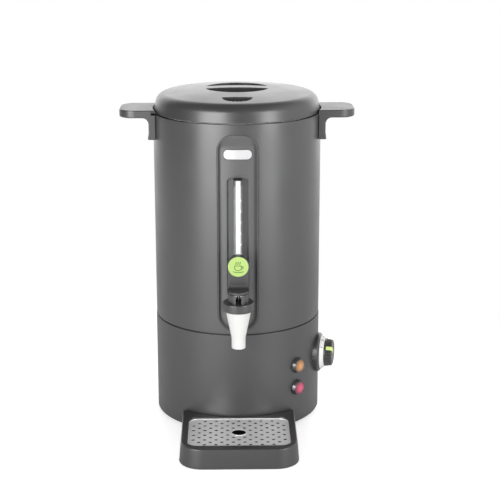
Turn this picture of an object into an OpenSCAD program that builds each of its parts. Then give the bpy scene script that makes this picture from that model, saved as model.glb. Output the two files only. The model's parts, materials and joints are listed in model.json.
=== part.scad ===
// Hot water urn with a bayonet lid, a sprung tap, a level gauge and a lift-out drip grid.
// The body's axis is the Z axis, the table is z = 0 and the tap faces -Y.

/* [Body] */
// outer diameter of the body shell
body_d = 220; // [214:1:236]
// sheet thickness of the body shell
shell_wall = 1.2; // [0.8:0.1:1.6]
// height of the body shell's top edge
shell_top_z = 412.5; // [412:0.5:460]
// middle height of the seam between the base and the body shell
base_seam_z = 139; // [132:1:141]
// open height of that seam
base_seam_gap = 1.6; // [0.8:0.1:3]
// how far the base shell stands out past the body shell
base_step = 0.5; // [0:0.1:1.5]
// wall thickness of the base shell
base_wall = 1.6; // [1.2:0.1:2.2]
// height of the base shell's lower edge above the table
base_bottom_z = 5; // [4:0.5:7]

/* [Tank] */
// gap between the inner tank and the body shell
tank_gap = 10.8; // [9:0.1:14]
// sheet thickness of the tank
tank_wall = 0.8; // [0.5:0.1:1.2]
// height of the tank's floor
tank_floor_z = 150; // [147:1:156]
// how far the tank's top rim turns outward
tank_flange = 6; // [4:0.5:8]

/* [Lid] */
// how far the lid's edge stands inside the body shell's face
lid_setback = 1; // [1:0.1:3]
// open height of the seam under the lid
lid_seam_gap = 1.3; // [0.8:0.1:2]
// height of the lid above the body shell's top edge
lid_rise = 32; // [28:1:44]
// radius of the lid's rounded shoulder
lid_shoulder_r = 14; // [10:1:18]
// wall thickness of the lid
lid_wall = 2.5; // [2:0.1:3.5]
// diameter of the round grip recess
well_d = 83; // [70:1:96]
// width of the bar across the grip recess
grip_bar_w = 21; // [16:1:28]
// depth of the grip recess below the top of the lid
well_depth = 17; // [12:1:19]
// half width of the steam vent
vent_r = 18.8; // [14:0.2:20]
// distance of the vent's straight edge from the lid's centre
vent_y = 69; // [66:0.5:72]

/* [Handles] */
// width across both handles
handle_span = 307; // [290:1:330]
// front-to-back width of a handle
handle_w = 66; // [56:1:76]
// thickness of the handle's grip
handle_t = 10; // [8:0.5:14]
// height of the handle's top above the body shell's top edge
handle_rise = 5.5; // [5:0.5:8]
// thickness of the handle's leg where it stands out past the shell
handle_leg_t = 4.7; // [4:0.1:7]
// length of the handle's leg below the grip
handle_leg_h = 28.5; // [24:0.5:36]
// corner radius of the grip's outer end
handle_corner_r = 20; // [12:1:26]
// radius of the hollow under the grip
handle_fillet_r = 8; // [5:0.5:10]
// how far the lid can turn in its bayonet, in degrees
lid_turn = 25; // [22:1:30]

/* [Front panel] */
// width of the channel in the front of the body
channel_w = 52; // [46:1:58]
// height of the channel's top above the table
channel_top_z = 400; // [380:1:401]
// height of the channel's lower end above the table
channel_bottom_z = 144.3; // [143:0.1:150]
// corner radius of the channel
channel_r = 21; // [15:1:22]
// depth of the channel below the body shell
channel_depth = 6; // [5:0.5:6]
// length of the ramp at the top of the channel
ramp_h = 17; // [10:1:24]
// wall thickness of the front panel
fascia_wall = 1.2; // [1:0.1:1.2]
// width of the gauge slot
gauge_slot_w = 26.5; // [24:0.5:32]
// height of the gauge slot's top
gauge_top_z = 343.8; // [320:0.1:355]
// depth of the gauge slot below the channel floor
gauge_slot_depth = 3.3; // [2.8:0.1:3.4]
// length of the blank badge
badge_w = 35.4; // [28:0.2:40]
// height of the blank badge
badge_h = 12; // [8:0.5:14]
// middle height of the badge
badge_z = 374; // [366:1:378]
// outer diameter of the gauge tube
tube_d = 12; // [10:0.1:12]
// wall thickness of the gauge tube
tube_wall = 1.4; // [1:0.1:2]
// how far the gauge tube's axis stands inside the body shell's face
tube_setback = 3; // [2:0.1:3]
// spacing of the level marks
mark_pitch = 14.3; // [10:0.1:20]

/* [Tap] */
// how far the tap's axis stands in front of the body shell
tap_reach = 40; // [38:1:46]
// height of the shank's axis
shank_z = 177.5; // [176:0.5:179]
// outer diameter of the shank
shank_d = 18; // [16:0.5:19]
// thickness of the washers at the tank's wall
washer_t = 1; // [0.8:0.1:1]
// bore of the shank
shank_bore = 9; // [7:0.5:10]
// top diameter of the nozzle
nozzle_top_d = 32.5; // [31:0.5:36]
// tip diameter of the nozzle
nozzle_tip_d = 17.5; // [16:0.5:20]
// height of the nozzle's tip
nozzle_tip_z = 136; // [120:1:140]
// length of the straight part of the tip
nozzle_straight = 13; // [8:1:15]
// bore of the nozzle
nozzle_bore = 12.4; // [10:0.1:13]
// outer diameter of the collar
collar_d = 39.4; // [38:0.2:44]
// height of the collar's lower edge
collar_z = 185.5; // [184:0.5:186]
// height of the collar
collar_h = 11.5; // [10:0.5:14]
// outer diameter of the neck above the collar
neck_d = 26; // [25:0.5:28]
// height of the neck above the collar
neck_h = 11; // [10:0.5:12]
// width of the slot in the neck
neck_slot_w = 7.1; // [5:0.1:8]
// diameter of the stem
stem_d = 3.2; // [3:0.1:4]
// travel of the lever, in degrees
lever_swing = 12; // [8:1:12]
// width of the lever
lever_w = 26; // [24:0.5:26]
// thickness of the lever's upright
lever_t = 12; // [9:0.5:12]
// diameter of the button disc on the lever
button_d = 26; // [22:0.5:26]
// middle height of the button disc
button_z = 238.7; // [234:0.1:246]
// how far the button stands out of the lever
button_proud = 1; // [0.5:0.1:2]
// distance of the pivot behind the tap's axis
pivot_back = 18; // [17:0.5:19]
// height of the pivot
pivot_z = 205; // [204.5:0.1:205.5]
// diameter of the pivot pin
pivot_d = 3; // [2.5:0.1:3.5]

/* [Controls] */
// angle of the thermostat knob, from the front towards the right
knob_az = 78; // [70:1:90]
// height of the thermostat knob
knob_z = 84.5; // [70:0.5:95]
// largest diameter of the knob's flange
flange_d = 54; // [50:1:58]
// how far the flange's rim stands out of the base
flange_proud = 3; // [2.5:0.1:4.5]
// height of the flange's cone behind the dial ring
flange_cone_h = 2.5; // [1:0.1:4]
// height of the dial ring
dial_h = 5.2; // [4:0.1:7]
// diameter of the knob at its inner end
knob_d = 37.6; // [34:0.2:40]
// length of the knob
knob_len = 10.5; // [9:0.5:16]
// width of the pointer
pointer_w = 4.9; // [3:0.1:6]
// rest angle of the pointer above the front side of the knob
pointer_tilt = 36; // [0:1:60]
// angle of the lamps, from the front towards the right
lamp_az = 44.5; // [35:0.5:50]
// height of the upper lamp
lamp_high_z = 86; // [80:0.5:100]
// height of the lower lamp
lamp_low_z = 55; // [40:0.5:60]
// outer diameter of a lamp bezel
bezel_d = 21.3; // [19:0.1:24]
// how far a bezel stands out of the base
bezel_proud = 6; // [4:0.5:8]
// diameter of a lamp lens
lens_d = 16.6; // [12:0.1:17]

/* [Drip tray] */
// how far the tray's front stands out of the base
tray_reach = 109.5; // [104:0.5:120]
// width of the tray at its foot
tray_w = 151; // [146:1:160]
// height of the tray's rim
tray_h = 27; // [25:0.5:34]
// how far each side leans in over the tray's height
tray_draft = 2; // [1:0.5:3]
// corner radius at the tray's front
tray_corner_r = 30; // [22:1:34]
// gap between the tray and the base
tray_gap = 1; // [0.6:0.1:2]
// wall thickness of the tray
tray_wall = 2.5; // [2:0.1:3]
// width of the drip grid
grid_w = 130; // [120:1:134]
// front-to-back depth of the drip grid
grid_l = 91; // [84:1:93]
// corner radius of the drip grid
grid_corner_r = 13; // [10:0.5:16]
// distance of the grid's front edge from the tray's front
grid_inset = 15; // [14:0.5:16]
// depth of the grid's face below the tray's rim
grid_drop = 2.4; // [1.5:0.1:4]
// sheet thickness of the grid
grid_t = 1; // [0.6:0.1:1.5]
// diameter of the hole in the middle of the grid
drain_d = 18; // [12:0.5:22]
// diameter of the small holes
hole_d = 3.6; // [2:0.1:4.4]
// spacing of the small holes along a row
hole_pitch_x = 14.5; // [12:0.1:14.6]
// spacing of the rows
hole_pitch_y = 7.5; // [6:0.1:7.6]

/* [Base fittings] */
// diameter of a foot
foot_d = 18; // [14:1:22]
// distance of a foot's middle from the base's face
foot_inset = 25.5; // [22:0.5:40]
// height of a foot
foot_h = 6.6; // [6:0.1:8]
// distance of the tie rods from the tank's wall
rod_inset = 18; // [14:0.5:20]
// distance of the heat plate's rim from the tank's wall
heat_plate_inset = 28; // [24:1:36]
// height of the cord gland's axis
gland_z = 32; // [26:1:40]
// bore of the cord gland
gland_bore = 8.4; // [6:0.1:10]

/* [Fits] */
// gap between a moving piece and the piece it runs on
run_fit = 0.06; // [0.03:0.01:0.1]
// gap between a fixed piece and the opening it sits in
seat_fit = 0.3; // [0.15:0.05:0.5]
// gap between a screw and its hole
screw_fit = 0.1; // [0.05:0.05:0.3]

/* [Hidden] */
$fn = 96;
e = 0.01;
body_r = body_d / 2;
shell_in = body_r - shell_wall;
base_r = body_r + base_step;
base_in = base_r - base_wall;
base_top_z = base_seam_z - base_seam_gap / 2;
shell_bottom_z = base_seam_z + base_seam_gap / 2;
tank_d = 2 * (shell_in - tank_gap);
tank_r = tank_d / 2;
tank_in = tank_r - tank_wall;
tank_top_z = shell_top_z - 0.7;
flange_r = tank_r + tank_flange;
lid_r = body_r - lid_setback;
lid_z = shell_top_z + lid_seam_gap;
lid_top_z = shell_top_z + lid_rise;
shoulder_x = lid_r - lid_shoulder_r - 2;
shoulder_drop = lid_shoulder_r + 7;
shoulder_z = lid_top_z - shoulder_drop;
arc_bite = 0.05;
dome_rs = lid_shoulder_r - arc_bite;
dome_r = (pow(shoulder_x, 2) + pow(shoulder_drop, 2) - pow(dome_rs, 2)) / (2 * (shoulder_drop - dome_rs));
well_r = well_d / 2;
well_z = lid_top_z - well_depth;
liner_z = lid_z - 9.8;
liner_r = tank_in - 1.7;
liner_top_z = lid_z + 0.6;
seal_top_z = liner_top_z - run_fit;
boss_r = 70;
handle_x = handle_span / 2;
handle_top_z = shell_top_z + handle_rise;
handle_bottom_z = handle_top_z - handle_t;
handle_leg_x = body_r + handle_leg_t;
handle_root_x = body_r - 14;
screw_root_x = shell_in - 8.8;
handle_screw_z = handle_bottom_z - 13;
lug_z = shell_top_z + 0.5;
lug_h = 2;
lug_r = body_r + 5.2;
lug_start = 5;
lug_arc = 10.5;
channel_floor = body_r - channel_depth;
slot_floor = channel_floor - gauge_slot_depth;
panel_low_z = shell_bottom_z + 0.2;
panel_high_z = channel_top_z + 4;
tube_y = body_r - tube_setback;
tube_r = tube_d / 2;
tube_top_z = gauge_top_z - 1;
tube_bottom_z = shank_z + 7;
socket_top_z = tube_bottom_z + 11;
tap_y = body_r + tap_reach;
button_r = button_d / 2;
lever_face = tap_y - 11;
pivot_y = tap_y - pivot_back;
collar_top_z = collar_z + collar_h;
neck_top_z = collar_top_z + neck_h;
foot_plate_z = neck_top_z + 0.4;
foot_plate_t = 2.6;
seat_z = shank_z - 6.5;
chamber_r = 10.5;
neck_cavity_r = 9.8;
roof_z = collar_z + 6.7;
ear_in = 8.2;
cup_h = 5;
bar_z = pivot_z;
flange_face = base_r + flange_proud;
dial_face = flange_face + flange_cone_h;
dial_end = dial_face + dial_h;
dial_r = flange_d / 2 - 3.7;
knob_start = dial_end + seat_fit;
knob_end = knob_start + knob_len;
knob_r = knob_d / 2;
knob_tip_r = knob_r - 1.7;
spindle_r = 3;
thermostat_face = base_in - 3.5;
bore_root = base_in - 8.9;
tray_z = 1;
tray_front_y = base_r + tray_reach;
grid_y = tray_front_y - grid_inset - grid_l / 2;
grid_z = tray_h - grid_drop;
plate_z = foot_h;
plate_t = 1.2;
plate_r = base_in - seat_fit;
foot_r = base_r - foot_inset;
rod_r = tank_r - rod_inset;
rod_nut_h = 2.8;
heat_plate_d = tank_d - 2 * heat_plate_inset;
heat_plate_t = 3.5;
element_r = heat_plate_d / 2 - 18;
element_tube_r = 4;
element_z = tank_floor_z - heat_plate_t - element_tube_r;

// ---- helpers ----

// children point outward from the body's axis, at angle az from the front
module radial(az, z) {
    rotate([0, 0, az])
        translate([0, 0, z])
            rotate([90, 0, 0])
                children();
}

module tube(r_out, r_in, z0, z1) {
    translate([0, 0, z0])
        difference() {
            cylinder(r = r_out, h = z1 - z0);
            translate([0, 0, -e])
                cylinder(r = r_in, h = z1 - z0 + 2 * e);
        }
}

module body_core(r, z0, z1) {
    translate([0, 0, z0])
        cylinder(r = r, h = z1 - z0, $fn = 128);
}

// a rounded rectangle standing on x = 0, from y = 0 up, for panels
module slot_2d(w, h, r) {
    translate([-w / 2, r])
        square([w, h - 2 * r]);
    translate([-w / 2 + r, 0])
        square([w - 2 * r, h]);
    for (x = [-w / 2 + r, w / 2 - r])
        for (y = [r, h - r])
            translate([x, y])
                circle(r = r, $fn = 48);
}

// a panel outline pushed out to the front through the body's wall
module front_slot(w, z0, z1, r, y0, y1) {
    translate([0, -y0, z0])
        rotate([90, 0, 0])
            linear_extrude(height = y1 - y0)
                slot_2d(w, z1 - z0, r);
}

module wire(points, r) {
    for (i = [0 : len(points) - 2])
        rod_between(points[i], points[i + 1], r);
    for (i = [1 : len(points) - 2])
        translate(points[i])
            aimed_along(points[i] - points[i - 1])
                sphere(r = r + 0.3, $fn = 24);
}

// one arc that rises straight up from a and comes down at b
module arched_wire(a, b, r) {
    run = norm([b[0] - a[0], b[1] - a[1]]);
    rise = b[2] - a[2];
    bend = (pow(run, 2) + pow(rise, 2)) / (2 * run);
    last = atan2(rise, run - bend);
    translate(a)
        rotate([90, 0, atan2(b[1] - a[1], b[0] - a[0])])
            translate([bend, 0, 0])
                rotate([0, 0, last])
                    rotate_extrude(angle = 180 - last)
                        translate([bend, 0])
                            circle(r = r, $fn = 24);
}

module aimed_along(d) {
    rotate([0, acos(d[2] / norm(d)), atan2(d[1], d[0])])
        children();
}

module rod_between(a, b, r) {
    translate(a)
        aimed_along(b - a)
            cylinder(r = r, h = norm(b - a), $fn = 24);
}

module pan_screw(head_r, head_h, shank_r, shank_len) {
    difference() {
        union() {
            cylinder(r = shank_r, h = shank_len, $fn = 32);
            translate([0, 0, -head_h])
                cylinder(r1 = head_r - 0.6, r2 = head_r, h = head_h, $fn = 32);
        }
        for (a = [0, 90])
            rotate([0, 0, a])
                translate([-head_r * 0.5, -0.4, -head_h - e])
                    cube([head_r, 0.8, 1]);
    }
}

module hex_nut(across, h, bore_r) {
    difference() {
        cylinder(r = across / sqrt(3), h = h, $fn = 6);
        translate([0, 0, -e])
            cylinder(r = bore_r, h = h + 2 * e, $fn = 32);
    }
}

// ---- body ----

module outer_shell() {
    color([0.27, 0.27, 0.28])
        difference() {
            body_core(body_r, shell_bottom_z, shell_top_z);
            body_core(shell_in, shell_bottom_z - 1, shell_top_z + 1);
            front_slot(channel_w, channel_bottom_z, channel_top_z, channel_r, 60, body_r + 5);
            for (side = [0, 180])
                rotate([0, 0, side])
                    for (y = [-18, 18])
                        translate([screw_root_x, y, handle_screw_z])
                            rotate([0, 90, 0])
                                cylinder(r = 2.3, h = 14, $fn = 32);
        }
}

module base_shell() {
    color([0.25, 0.25, 0.26])
        difference() {
            rotate_extrude($fn = 128)
                base_profile();
            radial(knob_az, knob_z)
                translate([0, 0, bore_root]) {
                    cylinder(r = 8, h = 15, $fn = 48);
                    for (x = [-14, 14])
                        translate([x, 0, 0])
                            cylinder(r = 2.2, h = 15, $fn = 32);
                }
            for (z = [lamp_low_z, lamp_high_z])
                radial(lamp_az, z)
                    translate([0, 0, bore_root])
                        cylinder(r = 6.8, h = 15, $fn = 48);
            radial(180, gland_z)
                translate([0, 0, bore_root])
                    cylinder(r = 8.2, h = 15, $fn = 48);
        }
}

module base_profile() {
    difference() {
        union() {
            translate([base_in, base_bottom_z + 1.5])
                square([base_wall, base_top_z - base_bottom_z - 1.5]);
            translate([base_in, base_bottom_z])
                square([base_wall - 1.5, 2]);
            translate([base_r - 1.5, base_bottom_z + 1.5])
                circle(r = 1.5, $fn = 32);
        }
        translate([0, base_bottom_z - 2])
            square([base_in, plate_z + 4 - base_bottom_z]);
    }
    translate([base_in - 2.5, plate_z + plate_t + 0.05])
        square([2.6, 3]);
}

module seam_ring() {
    color([0.06, 0.06, 0.065])
        difference() {
            union() {
                tube(shell_in, shell_in - 2, base_seam_z - 9, shell_bottom_z + 4);
                tube(shell_in - 1.9, tank_r + 0.2, shell_bottom_z + 1, shell_bottom_z + 3);
            }
            front_slot(channel_w + 8 + 2 * seat_fit, shell_bottom_z + 1, channel_top_z, 1, 60, body_r + 5);
        }
}

module rim_ring() {
    color([0.12, 0.12, 0.125])
        difference() {
            union() {
                tube(shell_in, tank_r, tank_top_z - 3.2, tank_top_z - tank_wall);
                tube(shell_in, flange_r + 0.4, tank_top_z - tank_wall - e, shell_top_z - 0.3);
                tube(shell_in, shell_in - 1.8, tank_top_z - 12, tank_top_z - 3.1);
                tube(tank_r + 2, tank_r, tank_top_z - 12, tank_top_z - 3.1);
            }
            front_slot(channel_w + 10, tank_top_z - 13, channel_top_z + 4.6, 1, 60, body_r + 5);
        }
}

module inner_tank() {
    color([0.72, 0.73, 0.74])
        difference() {
            union() {
                tube(tank_r, tank_in, tank_floor_z, tank_top_z);
                body_core(tank_r - 0.4, tank_floor_z, tank_floor_z + tank_wall);
                tube(flange_r, tank_in, tank_top_z - tank_wall, tank_top_z);
            }
            radial(0, shank_z)
                translate([0, 0, tank_r - 12])
                    cylinder(r = shank_d / 2 + screw_fit, h = 20, $fn = 48);
        }
}

// ---- front panel ----

module fascia_hollow() {
    difference() {
        front_slot(channel_w - 2 * fascia_wall - 2 * seat_fit, channel_bottom_z + fascia_wall + seat_fit,
            channel_top_z - fascia_wall - seat_fit, channel_r - fascia_wall - seat_fit, 60, body_r + 10);
        body_core(channel_floor, panel_low_z - 40, panel_high_z + 36);
        rotate([90, 0, -90])
            translate([0, 0, -channel_w / 2])
                linear_extrude(height = channel_w)
                    polygon([
                        [channel_floor - 12, channel_top_z - ramp_h],
                        [channel_floor - 0.5, channel_top_z - ramp_h],
                        [body_r + 0.5, channel_top_z - fascia_wall],
                        [body_r + 0.5, channel_top_z + 2],
                        [channel_floor - 12, channel_top_z + 2]
                    ]);
    }
}

module front_fascia() {
    color([0.26, 0.26, 0.27])
        difference() {
            union() {
                intersection() {
                    front_slot(channel_w - 2 * seat_fit, channel_bottom_z + seat_fit, channel_top_z - seat_fit,
                        channel_r - seat_fit, 60, body_r + 5);
                    tube(body_r - 0.2, slot_floor - fascia_wall, panel_low_z, panel_high_z);
                }
                intersection() {
                    front_slot(channel_w + 8, channel_bottom_z - 3, channel_top_z + 4, channel_r + 4, 60, body_r + 5);
                    tube(shell_in - 0.1, shell_in - 1.6, panel_low_z, panel_high_z + 0.5);
                }
            }
            fascia_hollow();
            intersection() {
                front_slot(channel_w - 6, channel_bottom_z + 3, channel_top_z - 3, channel_r - 3, 60, body_r + 5);
                difference() {
                    body_core(channel_floor - fascia_wall, panel_low_z, panel_high_z);
                    body_core(slot_floor - 4, panel_low_z - 1, panel_high_z + 1);
                    front_slot(gauge_slot_w + 2 * fascia_wall, shank_z + 12, gauge_top_z + fascia_wall, 6.5, 60, body_r + 5);
                }
            }
            difference() {
                front_slot(gauge_slot_w, shank_z + 12, gauge_top_z, 5.5, 60, body_r + 10);
                body_core(slot_floor, panel_low_z - 40, panel_high_z + 36);
            }
            front_slot(26.6, shank_z - 13.3, shank_z + 18, 6, 60, body_r + 5);
            intersection() {
                front_slot(badge_w + 0.4, badge_z - badge_h / 2 - 0.2, badge_z + badge_h / 2 + 0.2, badge_h / 2, 60, body_r);
                tube(body_r, channel_floor - 0.5, badge_z - badge_h, badge_z + badge_h);
            }
        }
}

module badge() {
    color([0.86, 0.86, 0.87])
        intersection() {
            front_slot(badge_w, badge_z - badge_h / 2, badge_z + badge_h / 2, badge_h / 2 - 0.2, 60, body_r);
            tube(channel_floor + 0.5, channel_floor - 0.5, badge_z - badge_h, badge_z + badge_h);
        }
}

// ---- level gauge ----

module gauge_tube() {
    color([0.85, 0.9, 0.9, 0.4])
        translate([0, -tube_y, 0])
            tube(tube_r, tube_r - tube_wall, tube_bottom_z, tube_top_z);
}

module gauge_scale() {
    scale_bottom = tube_bottom_z + 24;
    scale_len = tube_top_z - 0.6 - scale_bottom;
    color([0.95, 0.95, 0.95])
        translate([0, -tube_y, scale_bottom])
            difference() {
                union() {
                    intersection() {
                        cylinder(r = tube_r + 0.5, h = scale_len);
                        translate([-2.5, -tube_r - 1, 0])
                            cube([5.7, tube_r, scale_len]);
                    }
                    for (i = [0 : 8])
                        if (317.5 - i * mark_pitch > scale_bottom + 3)
                            translate([3.1, -tube_r - 0.05, 317.5 - i * mark_pitch - scale_bottom - 0.75])
                                cube([1.4, 1, 1.5]);
                }
                translate([0, 0, -1])
                    cylinder(r = tube_r, h = scale_len + 2);
            }
}

module gauge_cap() {
    color([0.1, 0.1, 0.1])
        translate([0, -tube_y, 0]) {
            translate([0, 0, tube_top_z - 7])
                cylinder(r = tube_r - tube_wall, h = 7, $fn = 48);
            translate([0, 0, tube_top_z])
                cylinder(r = tube_r, h = 0.9, $fn = 48);
        }
}

module gauge_seal() {
    color([0.15, 0.15, 0.15])
        translate([0, -tube_y, 0])
            tube(tube_r + 1, tube_r, tube_bottom_z + 1, socket_top_z - 0.4);
}

// ---- lid ----

// the lid's outline, t inside its outer face; the arcs cross at a small angle
module lid_outline(t) {
    rs = lid_shoulder_r - t;
    edge_x = lid_r - t;
    dist = sqrt(pow(edge_x - shoulder_x, 2) + pow(shoulder_z - lid_z, 2));
    turn = acos(rs / dist) - atan2(shoulder_z - lid_z, edge_x - shoulder_x);
    touch = (dome_r - t) * sin(atan2(shoulder_x, dome_r - shoulder_drop));
    intersection() {
        translate([0, lid_top_z - dome_r])
            circle(r = dome_r - t, $fn = 720);
        union() {
            translate([0, lid_z])
                square([touch, lid_rise + 5]);
            intersection() {
                translate([shoulder_x, shoulder_z])
                    circle(r = rs, $fn = 96);
                translate([0, lid_z])
                    square([lid_r, lid_rise]);
            }
            polygon([
                [0, lid_z], [edge_x, lid_z],
                [shoulder_x + (rs - arc_bite) * cos(turn), shoulder_z + (rs - arc_bite) * sin(turn)],
                [shoulder_x, shoulder_z + rs / 2], [0, shoulder_z + rs / 2]
            ]);
        }
    }
}

// the front half of a round plug, reaching back past its middle by the lip
module half_round(r, z0, z1, lip = 0) {
    translate([0, 0, z0])
        difference() {
            rotate([0, 0, 90])
                cylinder(r = r, h = z1 - z0, $fn = 64);
            translate([-r - 1, lip, -1])
                cube([2 * r + 2, r + 1, z1 - z0 + 2]);
        }
}

module grip_well(r, bar, z0, z1) {
    difference() {
        translate([0, 0, z0])
            cylinder(r = r, h = z1 - z0);
        translate([-r - 1, -bar / 2, z0 - 1])
            cube([2 * r + 2, bar, z1 - z0 + 2]);
    }
}

module lid_bosses(r, z0, z1) {
    for (a = [45 : 90 : 315])
        rotate([0, 0, a])
            translate([boss_r, 0, z0])
                cylinder(r = r, h = z1 - z0, $fn = 32);
}

module lid_hollow() {
    difference() {
        translate([0, 0, -e])
            rotate_extrude($fn = 128)
                lid_outline(lid_wall);
        grip_well(well_r + lid_wall, grip_bar_w - 2 * lid_wall, well_z - lid_wall, lid_top_z + 5);
        translate([0, -vent_y, 0])
            half_round(vent_r + lid_wall, lid_z + 8, lid_top_z + 5, lid_wall);
        lid_bosses(4.2, liner_z, lid_top_z + 5);
    }
}

module lid_cover() {
    color([0.27, 0.27, 0.28])
        difference() {
            union() {
                rotate_extrude($fn = 128)
                    lid_outline(0);
                lid_bosses(4.2, liner_z + tank_wall, lid_z + 1);
                for (side = [0, 180])
                    rotate([0, 0, side])
                        lid_lug();
            }
            lid_hollow();
            grip_well(well_r, grip_bar_w, well_z, lid_top_z + 5);
            translate([0, -vent_y, 0])
                half_round(vent_r, lid_z + 5, lid_top_z + 5);
            lid_bosses(1.6 + screw_fit, liner_z - 1, liner_z + 15);
        }
}

// the lug on the right, reaching from the lid's edge into the right handle's slot
module lid_lug() {
    intersection() {
        union() {
            tube(lug_r, lid_r - lid_wall + 0.7, lug_z, lug_z + lug_h);
            tube(lid_r - 0.6, lid_r - lid_wall + 0.7, lug_z + 0.5, lid_z + 0.9);
        }
        rotate([0, 0, lug_start])
            wedge(lug_arc, body_r + 20, lug_z - 1, lid_z + 3);
    }
}

// the sector from 0 to a degrees, counter-clockwise from +X
module wedge(a, r, z0, z1) {
    translate([0, 0, z0])
        linear_extrude(height = z1 - z0)
            polygon([[0, 0], [r, 0], [r * cos(a / 2) * 1.05, r * sin(a / 2) * 1.05], [r * cos(a), r * sin(a)]]);
}

module lid_liner() {
    color([0.74, 0.75, 0.76])
        difference() {
            union() {
                tube(liner_r, liner_r - tank_wall, liner_z, liner_top_z + tank_wall);
                body_core(liner_r - 0.4, liner_z, liner_z + tank_wall);
                tube(flange_r - 0.5, liner_r - 0.4, liner_top_z, liner_top_z + tank_wall);
            }
            for (a = [45 : 90 : 315])
                rotate([0, 0, a])
                    translate([boss_r, 0, liner_z - 1])
                        cylinder(r = 1.6 + screw_fit, h = 4, $fn = 32);
            for (x = [-8, 0, 8])
                translate([x, -vent_y - 7, liner_z - 1])
                    cylinder(r = 2, h = 4, $fn = 24);
        }
}

module lid_seal() {
    color([0.85, 0.85, 0.83])
        tube(flange_r - 1, tank_in + 0.4, tank_top_z + run_fit, seal_top_z);
}

module steam_vent() {
    color([0.09, 0.09, 0.09])
        translate([0, -vent_y - 0.1, 0])
            difference() {
                half_round(vent_r - 0.25, lid_z + 10, lid_top_z - 7.5);
                translate([0, -1.6, 0])
                    half_round(vent_r - 3.3, lid_z + 9, lid_top_z - 9.5);
                for (x = [-10, -5, 0, 5, 10])
                    translate([x - 1, -12, lid_z])
                        cube([2, 8, 40]);
            }
}

module lid_screws() {
    color([0.7, 0.7, 0.72])
        for (a = [45 : 90 : 315])
            rotate([0, 0, a])
                translate([boss_r, 0, liner_z])
                    pan_screw(3.4, 2, 1.6, 12);
}

// ---- handles ----

module handle_profile() {
    difference() {
        union() {
            translate([handle_root_x, handle_bottom_z])
                square([handle_x - handle_root_x, handle_t]);
            translate([handle_root_x, handle_bottom_z - handle_leg_h])
                square([handle_leg_x - handle_root_x, handle_leg_h + 1]);
            translate([handle_leg_x - 1, handle_bottom_z - handle_fillet_r])
                square([handle_fillet_r + 1, handle_fillet_r + 1]);
            polygon([
                [handle_leg_x - 1, handle_bottom_z - handle_leg_h],
                [handle_leg_x + 1.3, handle_bottom_z - handle_leg_h],
                [handle_leg_x, handle_bottom_z - handle_leg_h + 9],
                [handle_leg_x - 1, handle_bottom_z - handle_leg_h + 9]
            ]);
        }
        translate([handle_leg_x + handle_fillet_r, handle_bottom_z - handle_fillet_r])
            circle(r = handle_fillet_r, $fn = 48);
    }
}

module handle_plan() {
    w = handle_w / 2;
    r = handle_corner_r;
    root = handle_root_x - 6;
    translate([root, -w])
        square([handle_x - root - r, 2 * w]);
    translate([root, -w + r])
        square([handle_x - root, 2 * w - 2 * r]);
    for (y = [-w + r, w - r])
        translate([handle_x - r, y])
            circle(r = r, $fn = 64);
}

module handle() {
    difference() {
        intersection() {
            rotate([90, 0, 0])
                translate([0, 0, -handle_w / 2])
                    linear_extrude(height = handle_w)
                        handle_profile();
            translate([0, 0, handle_bottom_z - handle_leg_h - 1])
                linear_extrude(height = handle_t + handle_leg_h + 2)
                    handle_plan();
        }
        body_core(body_r, handle_bottom_z - handle_leg_h - 5, handle_top_z + 5);
        intersection() {
            tube(lug_r + 1, body_r - 5, lug_z - 1.4, lug_z + lug_h + 0.7);
            rotate([0, 0, lug_start - 2.5])
                wedge(40, body_r + 30, lug_z - 2, lug_z + 4);
        }
        for (y = [-18, 18])
            translate([screw_root_x, y, handle_screw_z])
                rotate([0, 90, 0])
                    cylinder(r = 2 + screw_fit, h = 13.4, $fn = 32);
    }
}

module handle_right() {
    color([0.25, 0.25, 0.26])
        handle();
}

module handle_left() {
    color([0.25, 0.25, 0.26])
        rotate([0, 0, 180])
            handle();
}

module handle_screws() {
    color([0.7, 0.7, 0.72])
        for (side = [0, 180])
            rotate([0, 0, side])
                for (y = [-18, 18])
                    translate([shell_in - 2.1, y, handle_screw_z])
                        rotate([0, 90, 0])
                            pan_screw(3.6, 2, 2, 6.2);
}

// ---- tap ----

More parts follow.
